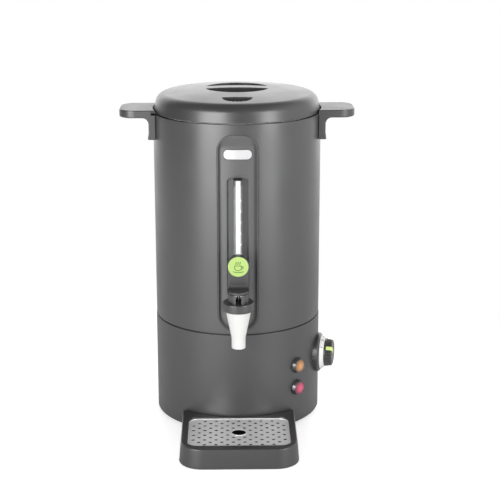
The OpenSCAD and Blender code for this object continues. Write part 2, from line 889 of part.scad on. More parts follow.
module tap_body() {
    cone_z = nozzle_tip_z + nozzle_straight;
    color([0.88, 0.88, 0.88])
        difference() {
            union() {
                translate([0, -tap_y, 0]) {
                    translate([0, 0, nozzle_tip_z + 1])
                        cylinder(r = nozzle_tip_d / 2, h = nozzle_straight - 1);
                    translate([0, 0, nozzle_tip_z])
                        cylinder(r1 = nozzle_tip_d / 2 - 0.8, r2 = nozzle_tip_d / 2, h = 1);
                    translate([0, 0, cone_z])
                        cylinder(r1 = nozzle_tip_d / 2, r2 = nozzle_top_d / 2, h = collar_z + 1 - cone_z);
                    translate([0, 0, collar_z])
                        cylinder(r = 15, h = roof_z - collar_z);
                }
                radial(0, shank_z) {
                    translate([0, 0, tank_r - 14])
                        cylinder(r = shank_d / 2, h = tap_y - tank_r + 4);
                    translate([0, 0, tank_r + washer_t])
                        cylinder(r = 12, h = 2.4);
                }
                difference() {
                    translate([0, -tube_y, shank_z])
                        cylinder(r = tube_r + 2.2, h = socket_top_z - shank_z);
                    translate([-20, -tank_r - washer_t, shank_z - 1])
                        cube([40, 20, 40]);
                }
            }
            translate([0, -tap_y, 0]) {
                translate([0, 0, nozzle_tip_z - 1])
                    cylinder(r = nozzle_bore / 2, h = 60);
                translate([0, 0, seat_z])
                    cylinder(r = chamber_r, h = 60);
                translate([0, 0, collar_z - seat_fit])
                    difference() {
                        cylinder(r = collar_d / 2 + seat_fit, h = collar_h);
                        translate([0, 0, -1])
                            cylinder(r = nozzle_top_d / 2, h = collar_h + 2);
                    }
            }
            radial(0, shank_z)
                translate([0, 0, tank_r - 15])
                    cylinder(r = shank_bore / 2, h = tap_y - tank_r + 15);
            translate([0, -tube_y, 0]) {
                translate([0, 0, tube_bottom_z])
                    cylinder(r = tube_r + 1, h = 40);
                translate([0, 0, shank_z])
                    cylinder(r = 3, h = 40);
            }
        }
}

module tap_collar() {
    color([0.25, 0.25, 0.26])
        translate([0, -tap_y, 0])
            difference() {
                union() {
                    rotate_extrude()
                        collar_profile();
                    translate([0, 0, collar_top_z - 0.5])
                        cylinder(r = neck_d / 2, h = neck_h + 0.5);
                    for (x = [-neck_d / 2 + 0.6, ear_in])
                        translate([x, 0, 0])
                            neck_ear();
                }
                translate([0, 0, collar_z - 1])
                    cylinder(r = 15 + 0.1, h = roof_z - collar_z + 1);
                translate([0, 0, collar_z - 1])
                    cylinder(r = nozzle_top_d / 2 + 0.1, h = 2.1);
                translate([0, 0, collar_z - 1])
                    cylinder(r = stem_d / 2 + run_fit, h = 20, $fn = 32);
                translate([0, 0, collar_top_z - 0.6])
                    cylinder(r = neck_cavity_r, h = neck_h + 2);
                translate([-neck_slot_w / 2, -neck_d, collar_top_z + 0.5])
                    cube([neck_slot_w, neck_d, neck_h + 1]);
                translate([-ear_in, 4, collar_top_z + e])
                    cube([2 * ear_in, 30, neck_h + 2]);
            }
}

module neck_ear() {
    difference() {
        translate([0, 8, collar_top_z - 6])
            cube([neck_d / 2 - 0.6 - ear_in, pivot_back - 4, neck_h + 6]);
        translate([-1, pivot_back, pivot_z])
            rotate([0, 90, 0])
                cylinder(r = pivot_d / 2, h = 10, $fn = 32);
    }
}

module collar_profile() {
    r = collar_d / 2;
    translate([0, collar_z])
        square([r - 1.5, collar_h]);
    translate([0, collar_z + 1.5])
        square([r, collar_h - 3]);
    for (z = [collar_z + 1.5, collar_top_z - 1.5])
        translate([r - 1.5, z])
            circle(r = 1.5, $fn = 32);
}

module tap_stem() {
    color([0.8, 0.8, 0.82])
        translate([0, -tap_y, 0]) {
            translate([0, 0, seat_z + 1.5])
                cylinder(r = stem_d / 2, h = neck_top_z - 0.6 - seat_z - 1.5, $fn = 32);
            translate([-7, 0, bar_z])
                rotate([0, 90, 0])
                    cylinder(r = 1.2, h = 14, $fn = 32);
        }
}

module tap_seat_cup() {
    color([0.8, 0.78, 0.74])
        translate([0, -tap_y, seat_z + run_fit])
            difference() {
                cylinder(r = 8.4, h = cup_h);
                translate([0, 0, 1.5 - run_fit])
                    cylinder(r = stem_d / 2, h = cup_h, $fn = 32);
            }
}

module tap_spring() {
    z0 = seat_z + cup_h + run_fit + 1.6;
    rise = roof_z - 1.1 - z0;
    color([0.75, 0.75, 0.77])
        translate([0, -tap_y, 0]) {
            for (i = [0 : 4])
                translate([0, 0, z0 + i * rise / 4])
                    rotate_extrude($fn = 64)
                        translate([5.5, 0])
                            circle(r = 0.6, $fn = 24);
            for (i = [0 : 3])
                rotate([0, 0, i * 90])
                    translate([5.5, 0, z0 + i * rise / 4])
                        cylinder(r = 0.5, h = rise / 4, $fn = 24);
        }
}

module lever_upright_2d() {
    translate([-lever_w / 2, foot_plate_z + 1.8])
        square([lever_w, button_z - foot_plate_z - 1.8]);
    translate([0, button_z])
        circle(r = lever_w / 2 + 0.3);
}

module tap_lever() {
    lug_x = ear_in - 0.3;
    color([0.26, 0.26, 0.27])
        difference() {
            union() {
                translate([0, -lever_face + lever_t, 0])
                    rotate([90, 0, 0])
                        linear_extrude(height = lever_t)
                            lever_upright_2d();
                translate([0, -tap_y, foot_plate_z])
                    cylinder(r = neck_d / 2 - 0.4, h = foot_plate_t);
                translate([-neck_d / 2 + 0.4, -tap_y, foot_plate_z])
                    cube([neck_d - 0.8, tap_y - lever_face + 2, foot_plate_t]);
                lever_fillet();
                translate([-lug_x, -pivot_y, pivot_z])
                    rotate([0, 90, 0])
                        cylinder(r = 4.8, h = 2 * lug_x, $fn = 48);
                translate([-lug_x, -pivot_y - 4.8, pivot_z])
                    cube([2 * lug_x, 9.6, foot_plate_z + 4 - pivot_z]);
                for (x = [-6.4, 4.4])
                    translate([x, -tap_y - 4, bar_z - 2.8])
                        cube([2, 8, foot_plate_z + 1 - bar_z + 2.8]);
            }
            translate([-20, -pivot_y, pivot_z])
                rotate([0, 90, 0])
                    cylinder(r = pivot_d / 2 + run_fit, h = 40, $fn = 32);
            for (y = [-0.5, 0, 0.5])
                translate([-8, -tap_y + y, bar_z])
                    rotate([0, 90, 0])
                        cylinder(r = 1.3, h = 16, $fn = 32);
            translate([0, -lever_face + 1.6, button_z])
                rotate([90, 0, 0])
                    cylinder(r = 9, h = 10);
        }
}

module lever_fillet() {
    top = foot_plate_z + foot_plate_t;
    rotate([90, 0, 90])
        translate([0, 0, -lever_w / 2 + 1])
            linear_extrude(height = lever_w - 2)
                difference() {
                    translate([-lever_face - 4, top - 0.5])
                        square([5, 4.5]);
                    translate([-lever_face - 4, top + 4])
                        circle(r = 4, $fn = 48);
                }
}

module tap_button() {
    color([0.72, 0.88, 0.45])
        translate([0, -lever_face, button_z])
            rotate([90, 0, 0]) {
                translate([0, 0, -1.5])
                    cylinder(r = 9 - run_fit, h = 1.6);
                cylinder(r = button_r, h = button_proud - 0.3);
                translate([0, 0, button_proud - 0.3])
                    cylinder(r1 = button_r, r2 = button_r - 0.4, h = 0.3);
            }
}

module lever_pin() {
    color([0.75, 0.75, 0.77])
        translate([-neck_d / 2 + 0.8, -pivot_y, pivot_z])
            rotate([0, 90, 0])
                cylinder(r = pivot_d / 2, h = neck_d - 1.6, $fn = 32);
}

module tap_nut() {
    color([0.82, 0.82, 0.82])
        radial(0, shank_z)
            translate([0, 0, tank_in - 9.6])
                hex_nut(26, 6.5, shank_d / 2);
}

module tap_washers() {
    color([0.8, 0.78, 0.74]) {
        difference() {
            radial(0, shank_z)
                tube(12, shank_d / 2, tank_r - 4, tank_r + washer_t);
            body_core(tank_r, 140, 220);
        }
        intersection() {
            radial(0, shank_z)
                tube(12, shank_d / 2, tank_in - 3.1, tank_in + 1);
            body_core(tank_in, 140, 220);
        }
    }
}

// ---- thermostat and lamps ----

module knob_flange() {
    color([0.24, 0.24, 0.25])
        difference() {
            radial(knob_az, knob_z)
                difference() {
                    union() {
                        translate([0, 0, base_in - 4.9])
                            cylinder(r = flange_d / 2 - 0.4, h = flange_face - base_in + 4.9);
                        translate([0, 0, flange_face])
                            cylinder(r1 = flange_d / 2 - 0.4, r2 = dial_r + 0.7, h = dial_face - flange_face);
                    }
                    cylinder(r = 6.5, h = 140);
                    for (x = [-14, 14])
                        translate([x, 0, 0]) {
                            cylinder(r = 2.2, h = 140, $fn = 32);
                            translate([0, 0, flange_face - 2])
                                cylinder(r = 4, h = 20, $fn = 32);
                        }
                }
            body_core(base_r, 10, base_seam_z + 20);
        }
}

module dial_ring() {
    color([0.93, 0.93, 0.93])
        radial(knob_az, knob_z)
            difference() {
                translate([0, 0, dial_face])
                    cylinder(r1 = dial_r, r2 = knob_r + 1, h = dial_end - dial_face);
                cylinder(r = 8, h = 140);
            }
}

module knob() {
    ribs = 24;
    color([0.13, 0.13, 0.13])
        radial(knob_az, knob_z)
            difference() {
                union() {
                    translate([0, 0, knob_start])
                        cylinder(r1 = knob_r, r2 = knob_tip_r + 0.2, h = knob_len - 1);
                    translate([0, 0, knob_end - 1])
                        cylinder(r1 = knob_tip_r + 0.2, r2 = knob_tip_r - 0.8, h = 1);
                }
                difference() {
                    translate([0, 0, knob_start - e])
                        cylinder(r = knob_tip_r - 3.2, h = knob_len - 2);
                    cylinder(r = 6, h = 140);
                }
                for (i = [0 : ribs - 1])
                    rotate([0, 0, (i + 0.5) * 360 / ribs])
                        translate([knob_r + 0.5, 0, knob_start + 2])
                            cylinder(r = 1.2, h = knob_len, $fn = 24);
                translate([0, 0, knob_start - 1])
                    cylinder(r = spindle_r, h = knob_len - 1, $fn = 48);
                rotate([0, 0, 180 - pointer_tilt])
                    translate([knob_tip_r - 1.6, -pointer_w / 2, knob_start + 2.5])
                        cube([10, pointer_w, knob_len]);
                rotate([0, 0, 180 - pointer_tilt])
                    translate([4, -pointer_w / 2, knob_end - 1.2])
                        cube([20, pointer_w, 5]);
            }
}

module knob_pointer() {
    color([0.85, 0.93, 0.45])
        radial(knob_az, knob_z)
            rotate([0, 0, 180 - pointer_tilt]) {
                translate([knob_tip_r - 1.6, -pointer_w / 2, knob_start + 2.5])
                    cube([3, pointer_w, knob_len - 2.5 + 0.6]);
                translate([4, -pointer_w / 2, knob_end - 1.2])
                    cube([knob_tip_r - 4, pointer_w, 1.8]);
            }
}

module thermostat() {
    color([0.8, 0.78, 0.72])
        radial(knob_az, knob_z) {
            difference() {
                union() {
                    translate([-20, -9, thermostat_face - 0.1])
                        cube([40, 18, 1.6]);
                    translate([0, 0, thermostat_face - 21.4])
                        cylinder(r = 16, h = 21.4);
                    translate([0, 0, thermostat_face - 0.4])
                        cylinder(r = 6.2, h = 7);
                }
                translate([0, 0, thermostat_face - 15.4])
                    cylinder(r = spindle_r + run_fit, h = 30, $fn = 48);
                for (x = [-14, 14])
                    translate([x, 0, thermostat_face - 10.4])
                        cylinder(r = 2 + screw_fit, h = 20, $fn = 32);
            }
            for (x = [-9, 0, 9])
                translate([x - 2, 10, thermostat_face - 27.4])
                    cube([4, 0.8, 7]);
        }
}

module thermostat_spindle() {
    color([0.75, 0.75, 0.77])
        radial(knob_az, knob_z)
            translate([0, 0, thermostat_face - 15.4 + run_fit])
                cylinder(r = spindle_r, h = knob_end - 2.2 - thermostat_face + 15.4, $fn = 48);
}

module thermostat_screws() {
    color([0.7, 0.7, 0.72])
        radial(knob_az, knob_z)
            for (x = [-14, 14])
                translate([x, 0, flange_face - 2])
                    rotate([180, 0, 0])
                        pan_screw(3.4, 2, 2, 14);
}

module thermostat_bulb() {
    bulb_z = tank_floor_z - 3.2;
    inlet = [sin(knob_az) * 84, -cos(knob_az) * 84, knob_z + 8];
    color([0.72, 0.45, 0.3]) {
        translate([-30, 79, bulb_z])
            rotate([0, 90, 0])
                cylinder(r = 3.2, h = 50, $fn = 32);
        wire([[19, 79, bulb_z], [34, 72, bulb_z - 6], [60, 40, bulb_z - 22], [62, 10, knob_z + 22],
            [70, -8, knob_z + 12], inlet], 0.9);
    }
}

module lamp_bezel(z) {
    color([0.2, 0.2, 0.21])
        difference() {
            radial(lamp_az, z)
                difference() {
                    union() {
                        translate([0, 0, base_r - 4.5])
                            cylinder(r = bezel_d / 2, h = 6.5);
                        translate([0, 0, base_r + 2])
                            cylinder(r1 = bezel_d / 2, r2 = lens_d / 2 + 1.1, h = bezel_proud - 2);
                    }
                    translate([0, 0, base_r + 1.5])
                        cylinder(r = lens_d / 2 + 0.1, h = 20);
                    cylinder(r = 6.4, h = 200);
                }
            body_core(base_r, 10, base_seam_z + 20);
        }
}

module amber_bezel() {
    lamp_bezel(lamp_high_z);
}

module red_bezel() {
    lamp_bezel(lamp_low_z);
}

module lamp_lens(z) {
    dome = 40;
    radial(lamp_az, z)
        intersection() {
            translate([0, 0, base_r + 1.6])
                cylinder(r = lens_d / 2, h = bezel_proud + 1);
            translate([0, 0, base_r + bezel_proud + 0.9 - dome])
                sphere(r = dome, $fn = 160);
        }
}

module amber_lens() {
    color([0.85, 0.52, 0.2])
        lamp_lens(lamp_high_z);
}

module red_lens() {
    color([0.8, 0.2, 0.35])
        lamp_lens(lamp_low_z);
}

module lamp(z) {
    color([0.85, 0.85, 0.82])
        radial(lamp_az, z) {
            translate([0, 0, base_r - 26.5])
                cylinder(r = 6.2, h = 27.9, $fn = 48);
            for (x = [-3, 3])
                translate([x - 1.4, -0.4, base_r - 34.5])
                    cube([2.8, 0.8, 9]);
        }
}

module amber_lamp() {
    lamp(lamp_high_z);
}

module red_lamp() {
    lamp(lamp_low_z);
}

module lamp_nuts() {
    color([0.7, 0.7, 0.72])
        for (z = [lamp_low_z, lamp_high_z])
            radial(lamp_az, z)
                translate([0, 0, base_in - 5.6])
                    hex_nut(17, 4, 6.2);
}

// ---- heating and base ----

module heat_plate() {
    color([0.75, 0.75, 0.76])
        body_core(heat_plate_d / 2, tank_floor_z - heat_plate_t, tank_floor_z);
}

module heating_element() {
    color([0.6, 0.6, 0.62]) {
        translate([0, 0, element_z])
            rotate_extrude()
                translate([element_r, 0])
                    circle(r = element_tube_r, $fn = 32);
        for (a = [84, 96])
            rotate([0, 0, a])
                translate([element_r, 0, element_z - 24])
                    cylinder(r = 2.6, h = 22, $fn = 32);
    }
}

module thermal_cutout() {
    color([0.2, 0.2, 0.2])
        translate([0, 0, tank_floor_z - heat_plate_t - 9]) {
            cylinder(r = 8, h = 9, $fn = 48);
            translate([-13, -3.5, 7.6])
                cube([26, 7, 1.4]);
            for (x = [-5, 4.2])
                translate([x, -3, -7])
                    cube([0.8, 6, 7.5]);
        }
}

module tie_rods() {
    color([0.7, 0.7, 0.72])
        for (a = [30, 150, 270])
            rotate([0, 0, a])
                translate([rod_r, 0, plate_z - rod_nut_h])
                    cylinder(r = 2, h = tank_floor_z - plate_z + rod_nut_h, $fn = 32);
}

module tie_rod_nuts() {
    color([0.7, 0.7, 0.72])
        for (a = [30, 150, 270])
            rotate([0, 0, a])
                translate([rod_r, 0, plate_z - rod_nut_h])
                    hex_nut(7, rod_nut_h, 2);
}

module terminal_block() {
    color([0.9, 0.9, 0.86])
        difference() {
            translate([-21, 48, plate_z + plate_t])
                cube([42, 16, 15]);
            for (x = [-14, 0, 14])
                translate([x, 40, plate_z + plate_t + 7])
                    rotate([-90, 0, 0])
                        cylinder(r = 2.4, h = 30, $fn = 24);
            for (x = [-14, 0, 14])
                for (y = [52, 60])
                    translate([x, y, plate_z + plate_t + 7])
                        cylinder(r = 2, h = 10, $fn = 24);
        }
}

module wiring() {
    block_z = plate_z + plate_t + 7;
    a = [cos(84) * element_r, sin(84) * element_r, element_z - 24];
    b = [cos(96) * element_r, sin(96) * element_r, element_z - 24];
    color([0.75, 0.3, 0.2]) {
        wire([[14, 47.8, block_z], [14, 38, block_z + 14], [a[0], 45, 60], a], 1.4);
        wire([[-14, 47.8, block_z], [-14, 38, block_z + 14], [b[0], 45, 60], b], 1.4);
        arched_wire([0, 52, block_z + 0.5], [sin(knob_az) * 83, -cos(knob_az) * 83, knob_z - 6], 1.2);
    }
}

module cord_gland() {
    color([0.1, 0.1, 0.1])
        difference() {
            union() {
                difference() {
                    radial(180, gland_z)
                        translate([0, 0, base_r - 6.5])
                            cylinder(r = 12, h = 11.5);
                    body_core(base_r, 5, 80);
                }
                radial(180, gland_z) {
                    translate([0, 0, base_r - 18.5])
                        cylinder(r = 8, h = 20);
                    translate([0, 0, base_r + 4.5])
                        cylinder(r1 = 10, r2 = 7.6, h = 11);
                }
            }
            radial(180, gland_z)
                translate([0, 0, base_r - 20.5])
                    cylinder(r = gland_bore / 2, h = 40, $fn = 48);
        }
}

module gland_nut() {
    color([0.12, 0.12, 0.12])
        radial(180, gland_z)
            translate([0, 0, base_in - 7.2])
                hex_nut(20, 5, 8);
}

module base_plate() {
    color([0.7, 0.71, 0.72])
        difference() {
            body_core(plate_r, plate_z, plate_z + plate_t);
            for (a = [30, 150, 270])
                rotate([0, 0, a])
                    translate([rod_r, 0, plate_z - 1])
                        cylinder(r = 2 + screw_fit, h = 5, $fn = 32);
            for (a = [45 : 90 : 315])
                rotate([0, 0, a])
                    translate([foot_r, 0, plate_z - 1])
                        cylinder(r = 1.6 + screw_fit, h = 5, $fn = 32);
            for (a = [0 : 30 : 330])
                rotate([0, 0, a])
                    translate([30, -2, plate_z - 1])
                        cube([22, 4, 5]);
        }
}

module feet() {
    color([0.08, 0.08, 0.08])
        for (a = [45 : 90 : 315])
            rotate([0, 0, a])
                translate([foot_r, 0, 0])
                    difference() {
                        union() {
                            cylinder(r1 = foot_d / 2 - 1, r2 = foot_d / 2, h = 1.5, $fn = 48);
                            translate([0, 0, 1.5])
                                cylinder(r = foot_d / 2, h = foot_h - 1.5, $fn = 48);
                        }
                        translate([0, 0, -1])
                            cylinder(r = 4, h = 4.5, $fn = 32);
                        cylinder(r = 1.6 + screw_fit, h = 20, $fn = 32);
                    }
}

module foot_screws() {
    color([0.7, 0.7, 0.72])
        for (a = [45 : 90 : 315])
            rotate([0, 0, a])
                translate([foot_r, 0, 3.5])
                    pan_screw(3.4, 2, 1.6, 8);
}

// ---- drip tray ----

// a block with leaning front and sides, dx narrower at its lower edge and draft more at its top
module leaning_block(z0, z1, inset, draft) {
    w = tray_w / 2 - inset;
    front = tray_front_y - inset;
    r = tray_corner_r - inset;
    h = z1 - z0;
    translate([0, -60, z0])
        rotate([90, 0, 0])
            linear_extrude(height = front - r - 60)
                polygon([[-w, 0], [w, 0], [w - draft, h], [-w + draft, h]]);
    translate([-w + r, 0, z0])
        rotate([90, 0, 90])
            linear_extrude(height = 2 * (w - r))
                polygon([[-front, 0], [-60, 0], [-60, h], [-front + draft, h]]);
    for (x = [-w + r, w - r])
        translate([x, -front + r, z0])
            cylinder(r1 = r, r2 = r - draft, h = h);
}

module grid_outline(inset, z0, z1) {
    translate([0, -grid_y - grid_l / 2 + inset, z0])
        linear_extrude(height = z1 - z0)
            slot_2d(grid_w - 2 * inset, grid_l - 2 * inset, grid_corner_r - inset);
}

module drip_tray() {
    color([0.25, 0.25, 0.26])
        difference() {
            union() {
                difference() {
                    union() {
                        leaning_block(tray_z, tray_h - 1.5, 0, tray_draft);
                        leaning_block(tray_h - 1.5, tray_h, tray_draft, 1);
                    }
                    body_core(base_r + tray_gap, -1, 60);
                }
                translate([-38, -base_r - 10, tray_z])
                    cube([76, 46, 2.4]);
            }
            grid_outline(-seat_fit, grid_z - 2.2, tray_h + 5);
            grid_outline(4.5, tray_z + tray_wall, tray_h + 5);
            difference() {
                leaning_block(tray_z - 1, grid_z - 4.6, 5, tray_draft);
                grid_outline(4.5 - tray_wall, tray_z - 2, tray_h);
                body_core(base_r + tray_gap + 3, -2, 60);
                translate([-41, -base_r - 12, -2])
                    cube([82, 50, 40]);
            }
        }
}

module drip_grid() {
    mid_rows = 5;
    color([0.78, 0.78, 0.79])
        difference() {
            union() {
                grid_outline(0.6, grid_z - grid_t, grid_z);
                difference() {
                    grid_outline(0, grid_z - 2, grid_z + 0.7);
                    grid_outline(1.1, grid_z - 3, grid_z + 2);
                }
                translate([0, -grid_y, grid_z - grid_t])
                    cylinder(r = drain_d / 2 + 1, h = grid_t + 0.5, $fn = 64);
            }
            translate([0, -grid_y, grid_z - 5])
                cylinder(r = drain_d / 2, h = 10, $fn = 64);
            for (row = [-mid_rows : mid_rows])
                grid_row(row);
        }
}

// one row of holes, with those that would cut the drain hole or the corners left out
module grid_row(row) {
    odd = abs(row) % 2;
    y = row * hole_pitch_y;
    for (i = [-4 : 4]) {
        x = (odd == 1 ? i : i + 0.5) * hole_pitch_x;
        inside = abs(x) < (abs(row) == 5 ? 3.2 : 4.2) * hole_pitch_x;
        if (inside && norm([x, y]) > drain_d / 2 + hole_d)
            translate([x, -grid_y + y, grid_z - 5])
                cylinder(r = hole_d / 2, h = 10, $fn = 24);
    }
}

outer_shell();
base_shell();
seam_ring();
rim_ring();
inner_tank();
front_fascia();
badge();
lid_cover();
lid_liner();
lid_seal();
steam_vent();
lid_screws();
handle_left();
handle_right();
handle_screws();
gauge_tube();
gauge_scale();
gauge_cap();
gauge_seal();
tap_body();
tap_collar();
tap_stem();
tap_seat_cup();
tap_spring();
tap_lever();
tap_button();
lever_pin();
tap_nut();
tap_washers();
knob();
knob_pointer();
dial_ring();
knob_flange();
thermostat();
thermostat_spindle();
thermostat_screws();
thermostat_bulb();
amber_bezel();
red_bezel();
amber_lens();
red_lens();
amber_lamp();
red_lamp();
lamp_nuts();
heat_plate();
heating_element();
thermal_cutout();
tie_rods();
tie_rod_nuts();
terminal_block();
wiring();
cord_gland();
gland_nut();
base_plate();
feet();
foot_screws();
drip_tray();
drip_grid();
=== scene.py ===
import json
import math

import bmesh
import bpy
import numpy as np
from mathutils import Matrix, Vector
from mathutils.geometry import delaunay_2d_cdt


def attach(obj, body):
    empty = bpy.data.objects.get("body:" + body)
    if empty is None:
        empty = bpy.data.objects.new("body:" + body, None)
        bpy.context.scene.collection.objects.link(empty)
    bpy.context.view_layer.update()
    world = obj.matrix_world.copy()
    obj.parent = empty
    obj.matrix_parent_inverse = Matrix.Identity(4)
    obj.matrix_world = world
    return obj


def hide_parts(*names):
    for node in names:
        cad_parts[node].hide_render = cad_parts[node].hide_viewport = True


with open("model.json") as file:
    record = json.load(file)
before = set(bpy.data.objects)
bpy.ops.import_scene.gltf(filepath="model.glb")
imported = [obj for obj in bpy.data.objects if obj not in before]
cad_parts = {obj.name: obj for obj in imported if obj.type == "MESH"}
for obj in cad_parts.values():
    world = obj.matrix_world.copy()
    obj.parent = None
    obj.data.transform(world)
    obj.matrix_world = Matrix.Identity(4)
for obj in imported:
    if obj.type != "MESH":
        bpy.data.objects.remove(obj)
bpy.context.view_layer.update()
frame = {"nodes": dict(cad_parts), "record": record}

scene = bpy.context.scene
mm = 0.001  # shapes are written in millimetres
white = (1, 1, 1, 1)

# node helpers


def setInputs(tree, node, inputs):
    # sets or links a node's inputs, each named by its label or its number
    for key, value in inputs.items():
        if isinstance(value, bpy.types.NodeSocket):
            tree.links.new(value, node.inputs[key])
        else:
            node.inputs[key].default_value = value


def addNode(tree, kind, inputs=None, **settings):
    node = tree.nodes.new(kind)
    for key, value in settings.items():
        setattr(node, key, value)
    setInputs(tree, node, inputs or {})
    return node


def mathNode(tree, operation, *values):
    return addNode(tree, "ShaderNodeMath", dict(enumerate(values)), operation=operation).outputs[0]


def rampNode(tree, value, start, stop, low=0.0, high=1.0, smooth=True):
    # goes from low to high while the value goes from start to stop
    inputs = {"Value": value, "From Min": start, "From Max": stop, "To Min": low, "To Max": high}
    kind = "SMOOTHSTEP" if smooth else "LINEAR"
    return addNode(tree, "ShaderNodeMapRange", inputs, interpolation_type=kind).outputs["Result"]


def noiseNode(tree, place, scale, detail):
    return addNode(tree, "ShaderNodeTexNoise", {"Vector": place, "Scale": scale, "Detail": detail}).outputs["Fac"]


def cameraRay(tree):
    return addNode(tree, "ShaderNodeLightPath").outputs["Is Camera Ray"]


# camera and light

cameraSettings = {
    "at": (-10.126, -1749.971, 703.366),
    "right": (0.999875, -0.015781, -0.001284),
    "up": (0.005421, 0.265042, 0.964222),
    "forward": (0.014876, 0.964108, -0.265094),
    "lens": 96.683,
    "sensor": 36.0,
}

lightSettings = {
    "room": 0.26,  # light from all round
    # what the room adds towards the right and behind the urn: axis, where it starts and stops, how much
    "sides": (("X", 0.25, 1.0, 0.85), ("Y", 0.45, 0.95, 1.9)),
    "seen": 1.0,  # brightness of the backdrop
    "boxes": {
        # name: place, target, width, height and watts; lengths in metres
        "leftBox": ((-0.78, -1.22, 0.48), (0.0, 0.0, 0.28), 0.95, 0.9, 17.5),
        "rightBox": ((0.95, -1.05, 0.5), (0.0, 0.0, 0.28), 0.55, 0.9, 8.5),
    },
}


def placeCamera(s):
    data = bpy.data.cameras.new("studioCamera")
    data.sensor_fit = "HORIZONTAL"
    data.sensor_width = s["sensor"]
    data.lens = s["lens"]
    eye = bpy.data.objects.new("studioCamera", data)
    scene.collection.objects.link(eye)
    columns = (s["right"], s["up"], [-v for v in s["forward"]], [v * mm for v in s["at"]])
    eye.matrix_world = Matrix([[column[row] for column in columns] for row in range(3)] + [[0, 0, 0, 1]])
    scene.camera = eye


def lightRoom(s):
    scene.view_settings.view_transform = "Standard"
    scene.view_settings.look = "None"
    world = bpy.data.worlds.new("whiteRoom")
    scene.world = world
    world.use_nodes = True
    tree = world.node_tree
    tree.nodes.clear()
    coords = addNode(tree, "ShaderNodeTexCoord")
    split = addNode(tree, "ShaderNodeSeparateXYZ", {0: coords.outputs["Generated"]})
    total = s["room"]
    for axis, start, stop, gain in s["sides"]:
        total = mathNode(tree, "ADD", rampNode(tree, split.outputs[axis], start, stop, high=gain), total)
    room, backdrop = (addNode(tree, "ShaderNodeBackground", {"Color": white, "Strength": strength}).outputs[0]
                      for strength in (total, s["seen"]))
    mix = addNode(tree, "ShaderNodeMixShader", {0: cameraRay(tree), 1: room, 2: backdrop})
    addNode(tree, "ShaderNodeOutputWorld", {"Surface": mix.outputs[0]})
    for name, (at, aim, width, height, watts) in s["boxes"].items():
        data = bpy.data.lights.new(name, "AREA")
        data.shape = "RECTANGLE"
        data.size, data.size_y = width, height
        data.energy = watts
        lamp = bpy.data.objects.new(name, data)
        scene.collection.objects.link(lamp)
        lamp.location = at
        lamp.rotation_euler = (Vector(aim) - Vector(at)).to_track_quat("-Z", "Y").to_euler()


placeCamera(cameraSettings)
lightRoom(lightSettings)
print("camera and light are in place")

# finishes

